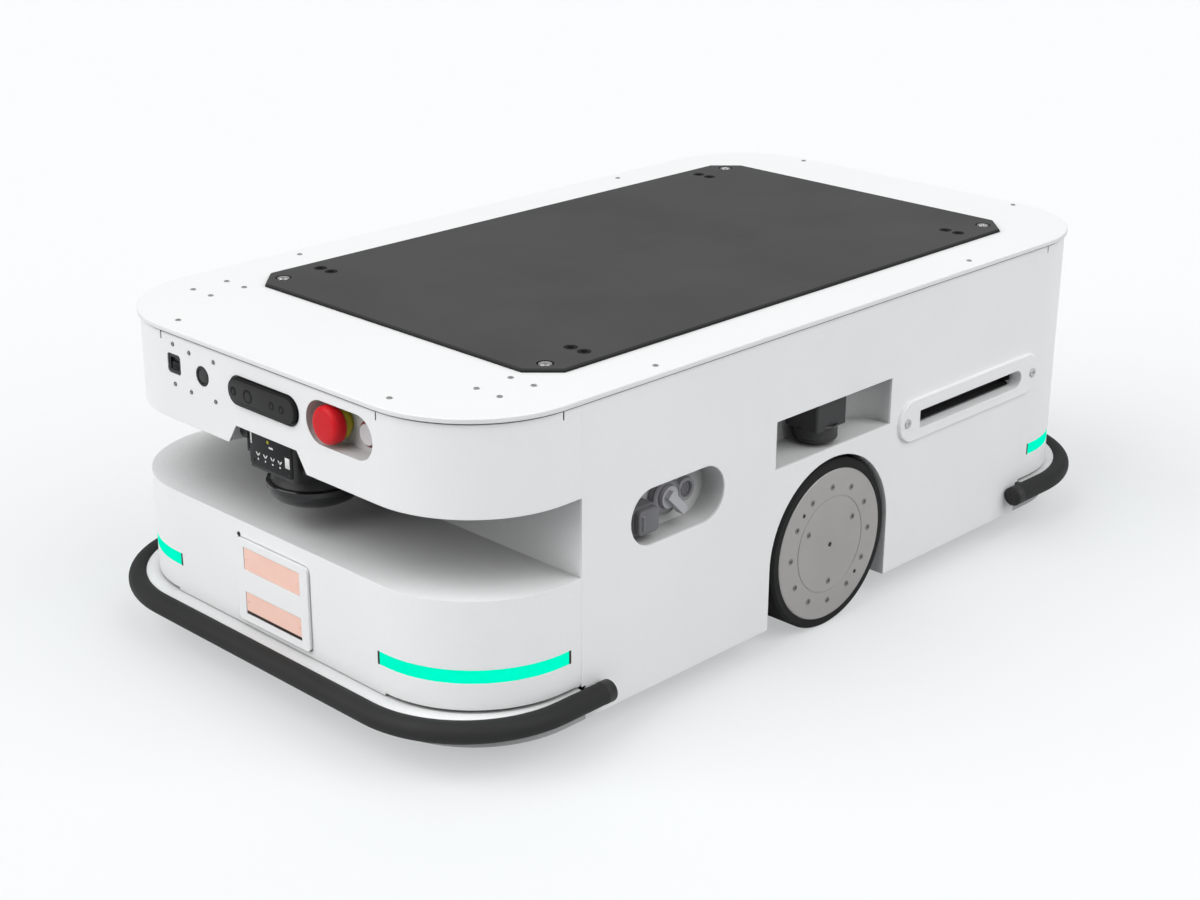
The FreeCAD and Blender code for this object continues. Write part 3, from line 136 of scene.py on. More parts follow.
# tone drift: slow, faint changes of shade over a large panel, between two colours
def makeToneDrift():
    tree, start, end = newGroup("toneDrift", [
        ("Position", "NodeSocketVector", None), ("Patch size", "NodeSocketFloat", 4.0),
        ("Light tone", "NodeSocketColor", None), ("Dark tone", "NodeSocketColor", None)],
        [("Colour", "NodeSocketColor"), ("Drift", "NodeSocketFloat")])
    patches = addNode(tree, "TexNoise", {"Detail": 4.0, "Roughness": 0.55})
    spread = addNode(tree, "MapRange", {"From Min": 0.3, "From Max": 0.7})
    blend = addMix(tree)
    join(tree, (start, "Position", patches, "Vector"), (start, "Patch size", patches, "Scale"),
        (patches, "Fac", spread, "Value"), (spread, "Result", blend, "Factor"),
        (start, "Light tone", blend, "A"), (start, "Dark tone", blend, "B"),
        (blend, "Result", end, "Colour"), (spread, "Result", end, "Drift"))
    return tree


# edge wear and highlight: where an edge turns, a mask for a paler tone along it and a rounded
# normal; the tone is partly worn paint and partly painted highlight
def makeEdgeWearAndHighlight():
    tree, start, end = newGroup("rubbedEdge", [
        ("Position", "NodeSocketVector", None), ("Edge width", "NodeSocketFloat", 0.0012),
        ("Patchiness", "NodeSocketFloat", 60.0)],
        [("Mask", "NodeSocketFloat"), ("Normal", "NodeSocketVector")])
    rounded = addNode(tree, "Bevel", samples=4)
    shape = addNode(tree, "NewGeometry")
    match = addNode(tree, "VectorMath", operation="DOT_PRODUCT")
    turn = addNode(tree, "MapRange", {"From Min": 0.97, "From Max": 0.8})
    patches = addNode(tree, "TexNoise", {"Detail": 2.0})
    breakUp = addMath(tree, "MULTIPLY")
    join(tree, (start, "Edge width", rounded, "Radius"), (rounded, "Normal", match, 0),
        (shape, "Normal", match, 1), (match, "Value", turn, "Value"),
        (start, "Position", patches, "Vector"), (start, "Patchiness", patches, "Scale"),
        (turn, "Result", breakUp, 0), (patches, "Fac", breakUp, 1),
        (breakUp, 0, end, "Mask"), (rounded, "Normal", end, "Normal"))
    return tree


# painted recess shade: a mask that grows where walls close in, darkening deep corners and recesses
# with painted shade
def makePaintedRecessShade():
    tree, start, end = newGroup("paintedRecessShade", [
        ("Reach", "NodeSocketFloat", 0.16), ("Open tone", "NodeSocketColor", None),
        ("Deep tone", "NodeSocketColor", None)], [("Colour", "NodeSocketColor"),
                                                  ("Mask", "NodeSocketFloat")])
    crowd = addNode(tree, "AmbientOcclusion", samples=6)
    mask = addNode(tree, "MapRange", {"From Min": 0.72, "From Max": 0.22},
                   interpolation_type="SMOOTHSTEP")
    blend = addMix(tree)
    join(tree, (start, "Reach", crowd, "Distance"), (crowd, "AO", mask, "Value"),
        (mask, "Result", blend, "Factor"), (start, "Open tone", blend, "A"),
        (start, "Deep tone", blend, "B"), (blend, "Result", end, "Colour"),
        (mask, "Result", end, "Mask"))
    return tree


coatGrain = makeCoatGrain()
paintedRecessShade = makePaintedRecessShade()
toneDrift = makeToneDrift()
rubbedEdge = makeEdgeWearAndHighlight()


# what a finish keeps where it names nothing of its own
finishBasis = {"patchSize": 5.0, "edgeWidth": 0.0008, "patchiness": 60.0, "grainSize": 900.0,
               "broadShare": 0.4, "speckle": 0.06, "grainDepth": 0.1, "grainHeight": 0.0002,
               "metallic": 0.0, "specular": 0.4, "coat": 0.0, "recessReach": 0.16}


# a sprayed or moulded finish: two close tones, grain as bump, soft edges whose paler tone is partly
# wear and partly painted highlight
def makeFinish(name, finish):
    finish = {**finishBasis, **finish}
    material, tree, shader = newMaterial(name)
    place = addNode(tree, "TexCoord")
    drift = useGroup(tree, toneDrift, {"Patch size": finish["patchSize"],
                                       "Light tone": colour(finish["light"]),
                                       "Dark tone": colour(finish["dark"])})
    edge = useGroup(tree, rubbedEdge, {"Edge width": finish["edgeWidth"],
                                       "Patchiness": finish["patchiness"]})
    grain = useGroup(tree, coatGrain, {"Grain size": finish["grainSize"],
                                       "Broad share": finish["broadShare"],
                                       "Speckle": finish["speckle"]})
    join(tree, *((place, "Object", group, "Position") for group in (drift, edge, grain)))
    # the edge tone is partly wear and partly painted highlight; on the deck it is darker, as painted
    # shade
    rub = addMix(tree, {"B": colour(finish.get("rub", finish["light"]))})
    join(tree, (edge, "Mask", rub, "Factor"), (drift, "Colour", rub, "A"))
    speckled = addMix(tree, {"Factor": 1.0}, blend_type="MULTIPLY")
    tone = (rub, "Result")
    # where a finish names a deep tone, painted shade darkens its recesses
    if "deep" in finish:
        recess = useGroup(tree, paintedRecessShade, {"Reach": finish["recessReach"],
                                              "Deep tone": colour(finish["deep"])})
        join(tree, (*tone, recess, "Open tone"))
        tone = (recess, "Colour")
    # faces not turned up, the sides and the underside, take a darker tone: painted shade
    if "cut" in finish:
        facing = addNode(tree, "SeparateXYZ")
        upright = addNode(tree, "MapRange", {"From Min": 0.9, "From Max": 0.6})
        cutTone = addMix(tree, {"B": colour(finish["cut"])})
        join(tree, (place, "Normal", facing, "Vector"), (facing, "Z", upright, "Value"),
                   (upright, "Result", cutTone, "Factor"), (*tone, cutTone, "A"))
        tone = (cutTone, "Result")
    join(tree, (*tone, speckled, "A"), (grain, "Shade", speckled, "B"),
        (speckled, "Result", shader, "Base Color"))
    low, high = finish["roughness"]
    sheen = addNode(tree, "MapRange", {"To Min": low, "To Max": high})
    join(tree, (drift, "Drift", sheen, "Value"), (sheen, "Result", shader, "Roughness"))
    bump = addNode(tree, "Bump", {"Strength": finish["grainDepth"],
                                  "Distance": finish["grainHeight"]})
    join(tree, (grain, "Height", bump, "Height"), (edge, "Normal", bump, "Normal"),
        (bump, "Normal", shader, "Normal"))
    setInputs(shader, {"Metallic": finish["metallic"],
                       "Specular IOR Level": finish["specular"],
                       "Coat Weight": finish["coat"], "Coat Roughness": 0.08})
    return material


# two tones and a roughness band, with whatever else a finish names
def tones(light, dark, roughness, **rest):
    return {"light": light, "dark": dark, "roughness": roughness, **rest}


powder = tones((0.92, 0.925, 0.93), (0.89, 0.897, 0.905), (0.42, 0.5),
               rub=0.95, grainSize=1500.0, grainDepth=0.08, specular=0.3)
finishes = {
    "whitePowder": powder,
    # the shell's white powder, with painted shade in its recesses
    "shellPowder": {**powder, "deep": (0.39, 0.392, 0.39), "speckle": 0.1},
    # the bay's and side pocket's white paint is greyed as painted shade, with more painted shade in
    # its recesses
    "shadedBayPowder": tones((0.74, 0.742, 0.745), (0.68, 0.682, 0.685), (0.5, 0.6), grainSize=1500.0,
        grainDepth=0.2, specular=0.25, deep=(0.4, 0.402, 0.4), recessReach=0.05, speckle=0.16),
    "rawBlack": tones(0.016, 0.012, (0.7, 0.8), grainSize=2200.0, specular=0.15),
    "coverScrew": tones(0.34, 0.28, (0.4, 0.5), metallic=0.3, patchSize=200.0, grainDepth=0.05),
    "shadowBandGrey": tones((0.2, 0.2, 0.205), (0.16, 0.16, 0.165), (0.6, 0.7), grainSize=2600.0),
    "ringRed": tones((0.2, 0.012, 0.018), (0.16, 0.01, 0.014), (0.4, 0.5), grainSize=3000.0),
    "paddlePale": tones((0.46, 0.46, 0.49), (0.4, 0.4, 0.43), (0.35, 0.45), grainSize=3000.0),
    # the top cover's white powder is darker than the sides' as painted shade, holding back the light
    # from above
    "shadedCoverPowder": {**powder, "light": (0.84, 0.845, 0.85), "dark": (0.815, 0.82, 0.826),
        "rub": 0.87},
    # the control pocket's white paint is greyed as painted shade
    "shadedPocketPowder": tones((0.6, 0.605, 0.6), (0.52, 0.525, 0.52), (0.6, 0.7), grainSize=2600.0,
        grainDepth=0.35),
    "skirtGrey": tones((0.5, 0.505, 0.51), (0.44, 0.445, 0.45), (0.5, 0.6), grainSize=1500.0),
    # the deck's darker sides and darker edge tone are painted shade
    "deckBlack": tones(0.061, (0.053, 0.053, 0.054), (0.66, 0.76), cut=0.013, rub=0.02,
        grainSize=2200.0, grainDepth=0.25, specular=0.25),
    "frameBlack": tones((0.03, 0.03, 0.032), (0.022, 0.022, 0.024), (0.5, 0.6), grainDepth=0.2),
    "bumperRubber": tones(0.026, 0.02, (0.55, 0.68), grainSize=1800.0, grainDepth=0.3,
        specular=0.22),
    "tyreRubber": tones(0.016, 0.012, (0.6, 0.75), rub=0.03, grainSize=1200.0, grainDepth=0.3,
        specular=0.2),
    "casterRubber": tones((0.1, 0.1, 0.105), (0.08, 0.08, 0.085), (0.5, 0.65), grainSize=1500.0),
    "scannerCase": tones((0.034, 0.034, 0.035), (0.028, 0.028, 0.029), (0.5, 0.6),
        grainSize=3000.0, grainDepth=0.3),
    "scannerGlass": tones((0.008, 0.008, 0.009), (0.006, 0.006, 0.007), (0.14, 0.22), coat=0.3,
        grainDepth=0.02, specular=0.3),
    "cameraFace": tones(0.028, 0.024, (0.45, 0.55), grainDepth=0.05, specular=0.2),
    "glossBlack": tones((0.006, 0.006, 0.007), (0.004, 0.004, 0.005), (0.25, 0.35), coat=0.15,
        grainDepth=0.02, specular=0.25),
    "stopRed": tones((0.66, 0.01, 0.017), (0.6, 0.008, 0.014), (0.34, 0.44),
        rub=(0.7, 0.03, 0.035), grainSize=3000.0, grainDepth=0.05, specular=0.2),
    "collarYellow": tones((0.46, 0.4, 0.015), (0.4, 0.35, 0.012), (0.4, 0.5), grainSize=3000.0),
    "buttonWhite": tones((0.55, 0.52, 0.53), (0.5, 0.475, 0.485), (0.25, 0.35), coat=0.3,
        grainDepth=0.03),
    "socketGrey": tones((0.17, 0.17, 0.18), (0.13, 0.13, 0.14), (0.4, 0.5), grainSize=3000.0),
    # the lever's much paler edge tone is a painted highlight
    "leverGrey": tones((0.3, 0.3, 0.32), (0.25, 0.25, 0.27), (0.35, 0.45), rub=(0.62, 0.62, 0.64),
        grainSize=3000.0),
    "zincSteel": tones((0.62, 0.62, 0.61), 0.48, (0.28, 0.42), metallic=1.0, patchSize=40.0,
        grainDepth=0.08),
    "castMetal": tones((0.34, 0.34, 0.345), (0.27, 0.27, 0.275), (0.5, 0.62), metallic=0.8,
        patchSize=30.0, grainDepth=0.4),
    "contactSalmon": tones((1.0, 0.67, 0.565), (0.97, 0.63, 0.525), (0.45, 0.55), patchSize=25.0,
        grainDepth=0.04),
    "darkBrown": tones((0.035, 0.02, 0.016), (0.028, 0.016, 0.012), (0.6, 0.7)),
    "darkZinc": tones((0.2, 0.2, 0.205), (0.14, 0.14, 0.145), (0.4, 0.5), metallic=0.7,
        patchSize=200.0, grainDepth=0.08),
    "hubScrew": tones((0.27, 0.265, 0.26), (0.21, 0.205, 0.2), (0.35, 0.45), metallic=0.3,
        patchSize=200.0, grainDepth=0.08),
    "bumperCap": tones(0.022, 0.016, (0.45, 0.55), grainSize=1800.0, grainDepth=0.2),
    "scannerFace": tones((0.007, 0.007, 0.008), (0.005, 0.005, 0.006), (0.4, 0.5),
        grainSize=3000.0, grainDepth=0.1, specular=0.2),
    "lensGlass": tones((0.01, 0.01, 0.014), (0.007, 0.007, 0.009), (0.04, 0.08), coat=0.8,
        grainDepth=0.0),
    # the lid's much paler, wider edge tone is a painted highlight
    "lidGrey": tones((0.155, 0.155, 0.165), (0.12, 0.12, 0.13), (0.35, 0.45),
        rub=(0.55, 0.55, 0.57), grainSize=3000.0, edgeWidth=0.0014),
    "drumGrey": tones((0.26, 0.255, 0.28), (0.21, 0.206, 0.23), (0.4, 0.5), grainSize=3000.0,
        grainDepth=0.1),
    "markWhite": tones(0.85, 0.8, (0.5, 0.6), grainDepth=0.02),
}
materials = {name: makeFinish(name, finish) for name, finish in finishes.items()}


# the hub's face is turned: fine rings round the axle, a little darker between them
def makeTurnedHub(name, axleX, axleZ):
    material, tree, shader = newMaterial(name)
    place = addNode(tree, "TexCoord")
    centred = addNode(tree, "Mapping")
    setInputs(centred, {"Location": (-axleX, 0, -axleZ)})
    flat = addNode(tree, "VectorMath", operation="MULTIPLY")
    setInputs(flat, {1: (1, 0, 1)})
    reach = addNode(tree, "VectorMath", operation="LENGTH")
    rings = addNode(tree, "TexNoise", {"Scale": 2600.0, "Detail": 2.0},
                    noise_dimensions="1D")
    drift = useGroup(tree, toneDrift, {"Patch size": 12.0, "Light tone": (0.425, 0.413, 0.405, 1),
                                       "Dark tone": (0.385, 0.374, 0.367, 1)})
    edge = useGroup(tree, rubbedEdge, {"Edge width": 0.0008})
    shade = addNode(tree, "MapRange", {"To Min": 0.93, "To Max": 1.05})
    tint = addMix(tree, {"Factor": 1.0}, blend_type="MULTIPLY")
    bump = addNode(tree, "Bump", {"Strength": 0.15, "Distance": 0.0001})
    join(tree, (place, "Object", centred, "Vector"), (centred, "Vector", flat, 0),
        (flat, "Vector", reach, 0), (reach, "Value", rings, "W"),
        (place, "Object", drift, "Position"), (place, "Object", edge, "Position"),
        (rings, "Fac", shade, "Value"), (drift, "Colour", tint, "A"),
        (shade, "Result", tint, "B"), (tint, "Result", shader, "Base Color"),
        (rings, "Fac", bump, "Height"), (edge, "Normal", bump, "Normal"),
        (bump, "Normal", shader, "Normal"))
    setInputs(shader, {"Metallic": 0.25, "Roughness": 0.5})
    return material


# the light strips glow evenly, with faint random patches of a deeper shade
def makeLightStrip(name):
    material, tree, shader = newMaterial(name)
    texture = addNode(tree, "TexCoord")
    cells = useGroup(tree, toneDrift, {"Patch size": 70.0, "Light tone": (0.0, 1.0, 0.62, 1),
                                       "Dark tone": (0.0, 0.93, 0.57, 1)})
    # the strip's back is dark: only faces turned away from the robot's middle are lit
    outward = addNode(tree, "VectorMath", operation="DOT_PRODUCT")
    lit = addMath(tree, "GREATER_THAN", 0.0)
    glow = addMix(tree, {"A": (0.0, 0.0, 0.0, 1)})
    join(tree, (texture, "Object", cells, "Position"), (texture, "Normal", outward, 0),
        (texture, "Object", outward, 1), (outward, "Value", lit, 0),
        (lit, 0, glow, "Factor"), (cells, "Colour", glow, "B"),
        (glow, "Result", shader, "Emission Color"))
    setInputs(shader, {"Base Color": (0.0, 0.02, 0.014, 1), "Specular IOR Level": 0.0,
                       "Emission Strength": 1.0, "Roughness": 0.35})
    return material


axle = {"x": -7.5 * mm, "z": 100 * mm}
materials["turnedHub"] = makeTurnedHub("turnedHub", axle["x"], axle["z"])
materials["lightStrip"] = makeLightStrip("lightStrip")
print("materials made:", len(materials))


# ---- finishes of the CAD nodes
# each finish with the endings of the names of the nodes that wear it
nodeEndings = {
    "whitePowder": ("rear_shell", "side_panel", "charging_panel", "handle"),
    "shellPowder": ("front_fascia", "lower_shell", "bumper_plate"),
    "shadedCoverPowder": ("top_cover",), "shadedPocketPowder": ("control_pocket",),
    "shadedBayPowder": ("scanner_bay", "side_pocket"), "deckBlack": ("deck_plate",),
    "zincSteel": ("deck_screws", "panel_screws", "caster_plates", "caster_fork", "spring"),
    "skirtGrey": ("chassis_base",),
    "frameBlack": ("chassis_frame", "battery_pack", "control_box", "stop_stem"),
    "bumperRubber": ("bumper_tube",), "lightStrip": ("lights",),
    "glossBlack": ("front_ports", "camera_bezel"), "cameraFace": ("depth_camera",),
    "scannerCase": ("scanner_body", "left_scanner", "right_scanner"),
    "scannerGlass": ("scanner_hood",), "socketGrey": ("pocket_sockets", "switch_base"),
    "paddlePale": ("switch_knob",), "contactSalmon": ("charging_contacts",),
    "stopRed": ("stop_head",), "collarYellow": ("stop_collar",), "ringRed": ("start_ring",),
    "buttonWhite": ("start_button",), "turnedHub": ("hub",), "tyreRubber": ("tyre",),
    "castMetal": ("drive_unit",), "casterRubber": ("caster_wheel",),
}
for finish, endings in nodeEndings.items():
    for name, piece in nodes.items():
        if name.endswith(endings):
            piece.data.materials.clear()
            piece.data.materials.append(materials[finish])
print("finishes set on the CAD nodes")


# ---- making pieces
mergeReach = 0.001 * mm
sharpAngle = math.radians(40)
quarterTurn = math.pi / 2
nearlyAll = 0.999
screwForm = {"flat": 0.62, "soft": 0.45, "slope": 0.6, "steps": 24}


# turns +Z towards an axis, and moves to a place given in millimetres
def seat(at, axis="z", roll=0):
    turn = {"z": Matrix.Identity(4), "-z": Matrix.Rotation(math.pi, 4, "X"),
            "x": Matrix.Rotation(quarterTurn, 4, "Y"), "-x": Matrix.Rotation(-quarterTurn, 4, "Y"),
            "y": Matrix.Rotation(-quarterTurn, 4, "X"), "-y": Matrix.Rotation(quarterTurn, 4, "X")}
    return (Matrix.Translation(Vector(at) * mm) @ turn[axis]
            @ Matrix.Rotation(math.radians(roll), 4, "Z"))


# the axis itself for a positive sign, its opposite for a negative one
def facing(axis, sign):
    return axis if sign > 0 else "-" + axis


# across and up, from a reach and an angle in degrees
def around(reach, angle):
    return reach * math.cos(math.radians(angle)), reach * math.sin(math.radians(angle))


# makes an object of a shape: doubles merged, faces outward, shaded smooth up to a sharp angle
def finishPiece(name, shape, finish, body="chassis"):
    bmesh.ops.remove_doubles(shape, verts=shape.verts, dist=mergeReach)
    bmesh.ops.recalc_face_normals(shape, faces=shape.faces)
    mesh = bpy.data.meshes.new(name)
    shape.to_mesh(mesh)
    shape.free()
    piece = bpy.data.objects.new(name, mesh)
    scene.collection.objects.link(piece)
    mesh.materials.append(materials[finish])
    mesh.shade_smooth()
    mesh.set_sharp_from_angle(angle=sharpAngle)
    if body:
        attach(piece, body)
    return piece


# a turned form: (radius, height) pairs in millimetres, closed and spun about the place's own Z
def addTurned(shape, profile, place, steps=64):
    (firstRadius, firstHeight), (lastRadius, lastHeight) = profile[0], profile[-1]
    if firstRadius and lastRadius:
        closing = [profile[0]] if profile[0] != profile[-1] else []
    else:
        closing = [(0, lastHeight)] if lastRadius else []
        profile = [(0, firstHeight)] * bool(firstRadius) + list(profile)
    profile = list(profile) + closing
    points = [shape.verts.new(place @ (Vector((radius, 0, height)) * mm))
              for radius, height in profile]
    lines = [shape.edges.new(pair) for pair in zip(points, points[1:])]
    bmesh.ops.spin(shape, geom=points + lines, cent=place.translation,
                   axis=place.to_3x3() @ Vector((0, 0, 1)), angle=2 * math.pi, steps=steps,
                   use_merge=True, use_duplicate=False)


def bevelEdges(shape, edges, width, steps):
    made = bmesh.ops.bevel(shape, geom=edges, offset=width * mm, offset_type="OFFSET",
                           segments=steps, profile=0.5, affect="EDGES", material=-1)
    return {vert for face in made["faces"] for vert in face.verts}


def edgesOf(verts):
    return {edge for vert in verts for edge in vert.link_edges}


# a block with rounded upright corners and a softened upper rim; its base is centred on the place
def addBlock(shape, size, place, corner=1.0, soft=0.5, cornerSteps=5, softSteps=2):
    length, width, height = (value * mm for value in size)
    made = bmesh.ops.create_cube(shape, size=1.0, matrix=Matrix.Diagonal((length, width, height, 1)))
    bmesh.ops.translate(shape, verts=made["verts"], vec=(0, 0, height / 2))
    upright = [edge for edge in edgesOf(made["verts"])
               if abs((edge.verts[0].co - edge.verts[1].co).z) > height / 2]
    verts = bevelEdges(shape, upright, corner * nearlyAll, cornerSteps)
    verts |= {vert for vert in made["verts"] if vert.is_valid}
    if soft:
        rim = [edge for edge in edgesOf(verts)
               if all(end.co.z > height * nearlyAll for end in edge.verts)]
        verts |= bevelEdges(shape, rim, soft, softSteps)
    verts = {vert for vert in verts if vert.is_valid}
    linked = {end for edge in edgesOf(verts) for end in edge.verts}
    bmesh.ops.transform(shape, matrix=place, verts=list(verts | linked))


# a low screw head with a sunk hexagon: the rim is turned, the hexagon bridged into its top
def addSocketScrew(shape, at, axis, head):
    place = seat(at, axis, head.get("roll", 0))
    radius, height, steps = head["radius"], head["height"], screwForm["steps"]
    inner, soft = radius * screwForm["flat"], height * screwForm["soft"]
    addTurned(shape, [(radius, 0), (radius, height - soft),
                      (radius - soft * screwForm["slope"], height), (inner, height)], place, steps)
    top = place @ Matrix.Translation((0, 0, height * mm))
    rim = bmesh.ops.create_circle(shape, segments=steps, radius=inner * mm, matrix=top)
    hexagon = bmesh.ops.create_circle(shape, segments=6, radius=head["socket"] * mm, matrix=top)
    innerEdges = edgesOf(hexagon["verts"])
    bmesh.ops.bridge_loops(shape, edges=list(edgesOf(rim["verts"]) | innerEdges))
    sunk = bmesh.ops.extrude_edge_only(shape, edges=list(innerEdges))["geom"]
    low = [item for item in sunk if isinstance(item, bmesh.types.BMVert)]
    bmesh.ops.translate(shape, verts=low,
                        vec=place.to_3x3() @ Vector((0, 0, -head["sink"] * mm)))
    bmesh.ops.contextual_create(shape, geom=[item for item in sunk
                                             if isinstance(item, bmesh.types.BMEdge)])


def makeScrews(name, spots, head, finish="zincSteel", body="chassis"):
    shape = bmesh.new()
    for at, axis in spots:
        addSocketScrew(shape, at, axis, head)
    return finishPiece(name, shape, finish, body)


def makeTurnedPiece(name, profile, at, axis, finish, slotName, steps=64, body="chassis"):
    shape = bmesh.new()
    addTurned(shape, profile, seat(at, axis), steps)
    return finishPiece(name, shape, finish, body)


# each block is a size, a spot, an axis, its corner and rim, and their steps where they differ
def makeBlocks(name, blocks, finish):
    shape = bmesh.new()
    for size, at, axis, *form in blocks:
        addBlock(shape, size, seat(at, axis), *form)
    return finishPiece(name, shape, finish)


front, side = 537.5, 300.0      # front and side skins, from the middle, in millimetres
deckTop, coverTop = 378.0, 374.0
sides = (("left", 1), ("right", -1))
ends = (("front", 1), ("rear", -1))


# ---- top cover and deck
cover = {"head": {"radius": 3.0, "height": 1.0, "socket": 1.3, "sink": 0.8},
         "leftInsets": ((97, 90.5), (97, 58), (142, 90.5), (142, 58)),
         "rightInsets": ((97, 79.5), (97, 47), (142, 79.5), (142, 47)),
         "edge": ((517, 171.5), (517, -171.5), (268.75, 284), (268.75, -284), (-268.75, 284),
                  (-268.75, -284), (-527, 172.5), (-527, -172.5))}


def makeCoverScrews():
    spots = [(front - x, side - y) for x, y in cover["leftInsets"]]
    spots += [(front - x, y - side) for x, y in cover["rightInsets"]]
    spots += cover["edge"]
    makeScrews("coverScrewHeads", [((x, y, coverTop), "z") for x, y in spots], cover["head"],
               "coverScrew")


# a thin dark band all round under the cover's lip: the painted shadow line under the lip
shadowBand = {"past": 0.3, "height": 2.3, "drop": 7.2, "corner": 125.15, "cornerSteps": 20,
          "wall": 0.6}


def makeCoverShadowBand():
    shape = bmesh.new()
    size = (2 * front + shadowBand["past"], 2 * side + shadowBand["past"], shadowBand["height"])
    addBlock(shape, size, seat((0, 0, coverTop - shadowBand["drop"])), shadowBand["corner"], 0,
             shadowBand["cornerSteps"])
    for up in (1, -1):
        flat = max(shape.faces, key=lambda face: up * face.normal.z * face.calc_area())
        bmesh.ops.inset_region(shape, faces=[flat], thickness=shadowBand["wall"] * mm,
                               use_even_offset=True)
        bmesh.ops.delete(shape, geom=[flat], context="FACES_ONLY")
    bmesh.ops.bridge_loops(shape, edges=[edge for edge in shape.edges if edge.is_boundary])
    finishPiece("coverShadowBand", shape, "shadowBandGrey")


# bright countersunk heads in the deck's corners, and threaded inserts in the payload holes
deck = {"screwAt": [(x, y) for x in (349.0, -404.0) for y in (210.0, -210.0)], "screwDrop": 1.2,
        "screw": {"radius": 6.0, "height": 1.3, "socket": 3.0, "sink": 1.1},
        "holeAt": [(x, y) for x in (295.5, -350.5) for y in (192.0, 211.0, -192.0, -211.0)],
        "insert": [(4.9, -3.6), (4.9, 0), (7.4, 0), (7.4, 0.25), (7.0, 0.4), (4.9, 0.4),
                   (4.2, -0.4), (4.2, -3.6), (4.9, -3.6)], "insertSteps": 32,
        "insertFloor": [(4.3, -3.8), (4.3, -3.4), (0, -3.4)], "floorSteps": 16}


def makeDeckHardware():
    shape = bmesh.new()
    for x, y in deck["screwAt"]:
        addSocketScrew(shape, (x, y, deckTop - deck["screwDrop"]), "z",
                       {**deck["screw"], "roll": x})
    finishPiece("deckScrewHeads", shape, "zincSteel")
    shape = bmesh.new()
    for x, y in deck["holeAt"]:
        addTurned(shape, deck["insert"], seat((x, y, deckTop)), deck["insertSteps"])
        addTurned(shape, deck["insertFloor"], seat((x, y, deckTop)), deck["floorSteps"])
    finishPiece("payloadInserts", shape, "rawBlack")


makeCoverScrews()
makeCoverShadowBand()
makeDeckHardware()
print("cover and deck done")


# ---- front fascia
level = 333.0      # height of the row of controls, sensors and ports
ports = {"screw": {"radius": 2.4, "height": 0.9, "socket": 1.1, "sink": 0.7},
         "screwAt": ((-154, 356.5), (-154, 312.5), (-125.3, 353.5), (-125.3, 310.5),
                     (-82.7, 353.5), (-82.7, 310.5)),
         "plug": (((12, 13.5, 2.2), (front - 4, -153.5, level - 2.5), "x", 2.0, 0.6),
                  ((2.0, 9, 1.0), (front - 2, -153.5, level - 2.5), "x", 0.6, 0.4)),
         "ring": {"profile": [(10.8, -1.4), (10.8, -0.2), (10.2, 0.5), (8.6, 0.5), (8.0, -0.4),
                              (8.0, -1.6)], "at": (front, -104, level), "axis": "x",
                  "finish": "glossBlack", "slotName": "dark_plastic"},
         "pane": {"profile": [(8.2, -2.1), (8.2, -0.9), (7.4, -0.3), (4.0, 0.0), (0, 0.1)],
                  "at": (front, -104, level), "axis": "x", "finish": "scannerCase",
                  "slotName": "gloss_black"}}


# a plug with a finger lip fills the square port; the round one has a ring and a domed pane
def makePorts():
    makeScrews("portScrewHeads", [((front, y, z), "x") for y, z in ports["screwAt"]],
               ports["screw"], "darkZinc")
    makeBlocks("squarePortPlug", ports["plug"], "scannerFace")
    makeTurnedPiece("roundPortRing", **ports["ring"])
    makeTurnedPiece("roundPortPane", **ports["pane"])


# a raised black body with a charcoal face; a black ring of painted shade rings each window
cameraTop = 541.5
depthCamera = {"body": (((29.0, 110.0, 8.0), (533.5, 0, level), "x", 14.4, 0.8, 14),),
               "face": (((26.4, 107.4, 0.5), (cameraTop - 0.1, 0, level), "x", 13.1, 0.25, 14),
                        ((0.9, 84, 0.35), (cameraTop + 0.35, 3, level - 10.9), "x", 0.4, 0.1)),
               "lensAt": ((-45, 4.0), (-21, 6.5), (18, 3.5), (34, 3.5)), "lensLift": 0.38,
               "shadeRing": ((0.9, 0), (0.8, 0.14)), "pane": ((-1.3, 0.05), (-1.5, 0.3)),
               "paneTop": 0.42, "paneDome": 0.4, "paneShift": (0.5, 0.6, 0),
               "shadeRingSteps": 48, "paneSteps": 40}


def makeCameraFace():
    makeBlocks("cameraBody", depthCamera["body"], "rawBlack")
    makeBlocks("cameraFace", depthCamera["face"], "cameraFace")
    # each pane sits off centre, so its black ring shows wider on one side as a crescent of painted
    # shade
    shadeRings, panes = bmesh.new(), bmesh.new()
    shift = Matrix.Translation(Vector(depthCamera["paneShift"]) * mm)
    for y, radius in depthCamera["lensAt"]:
        place = seat((cameraTop + depthCamera["lensLift"], y, level), "x")
        shadeRing, pane = ([(radius + past, height) for past, height in depthCamera[key]]
                        for key in ("shadeRing", "pane"))
        top = depthCamera["paneTop"]
        addTurned(shadeRings, shadeRing + [(0, shadeRing[-1][1])], place, depthCamera["shadeRingSteps"])
        addTurned(panes, pane + [(radius * depthCamera["paneDome"], top), (0, top)],
                  place @ shift, depthCamera["paneSteps"])
    finishPiece("cameraShadeRings", shadeRings, "rawBlack")
    finishPiece("cameraWindows", panes, "cameraFace")


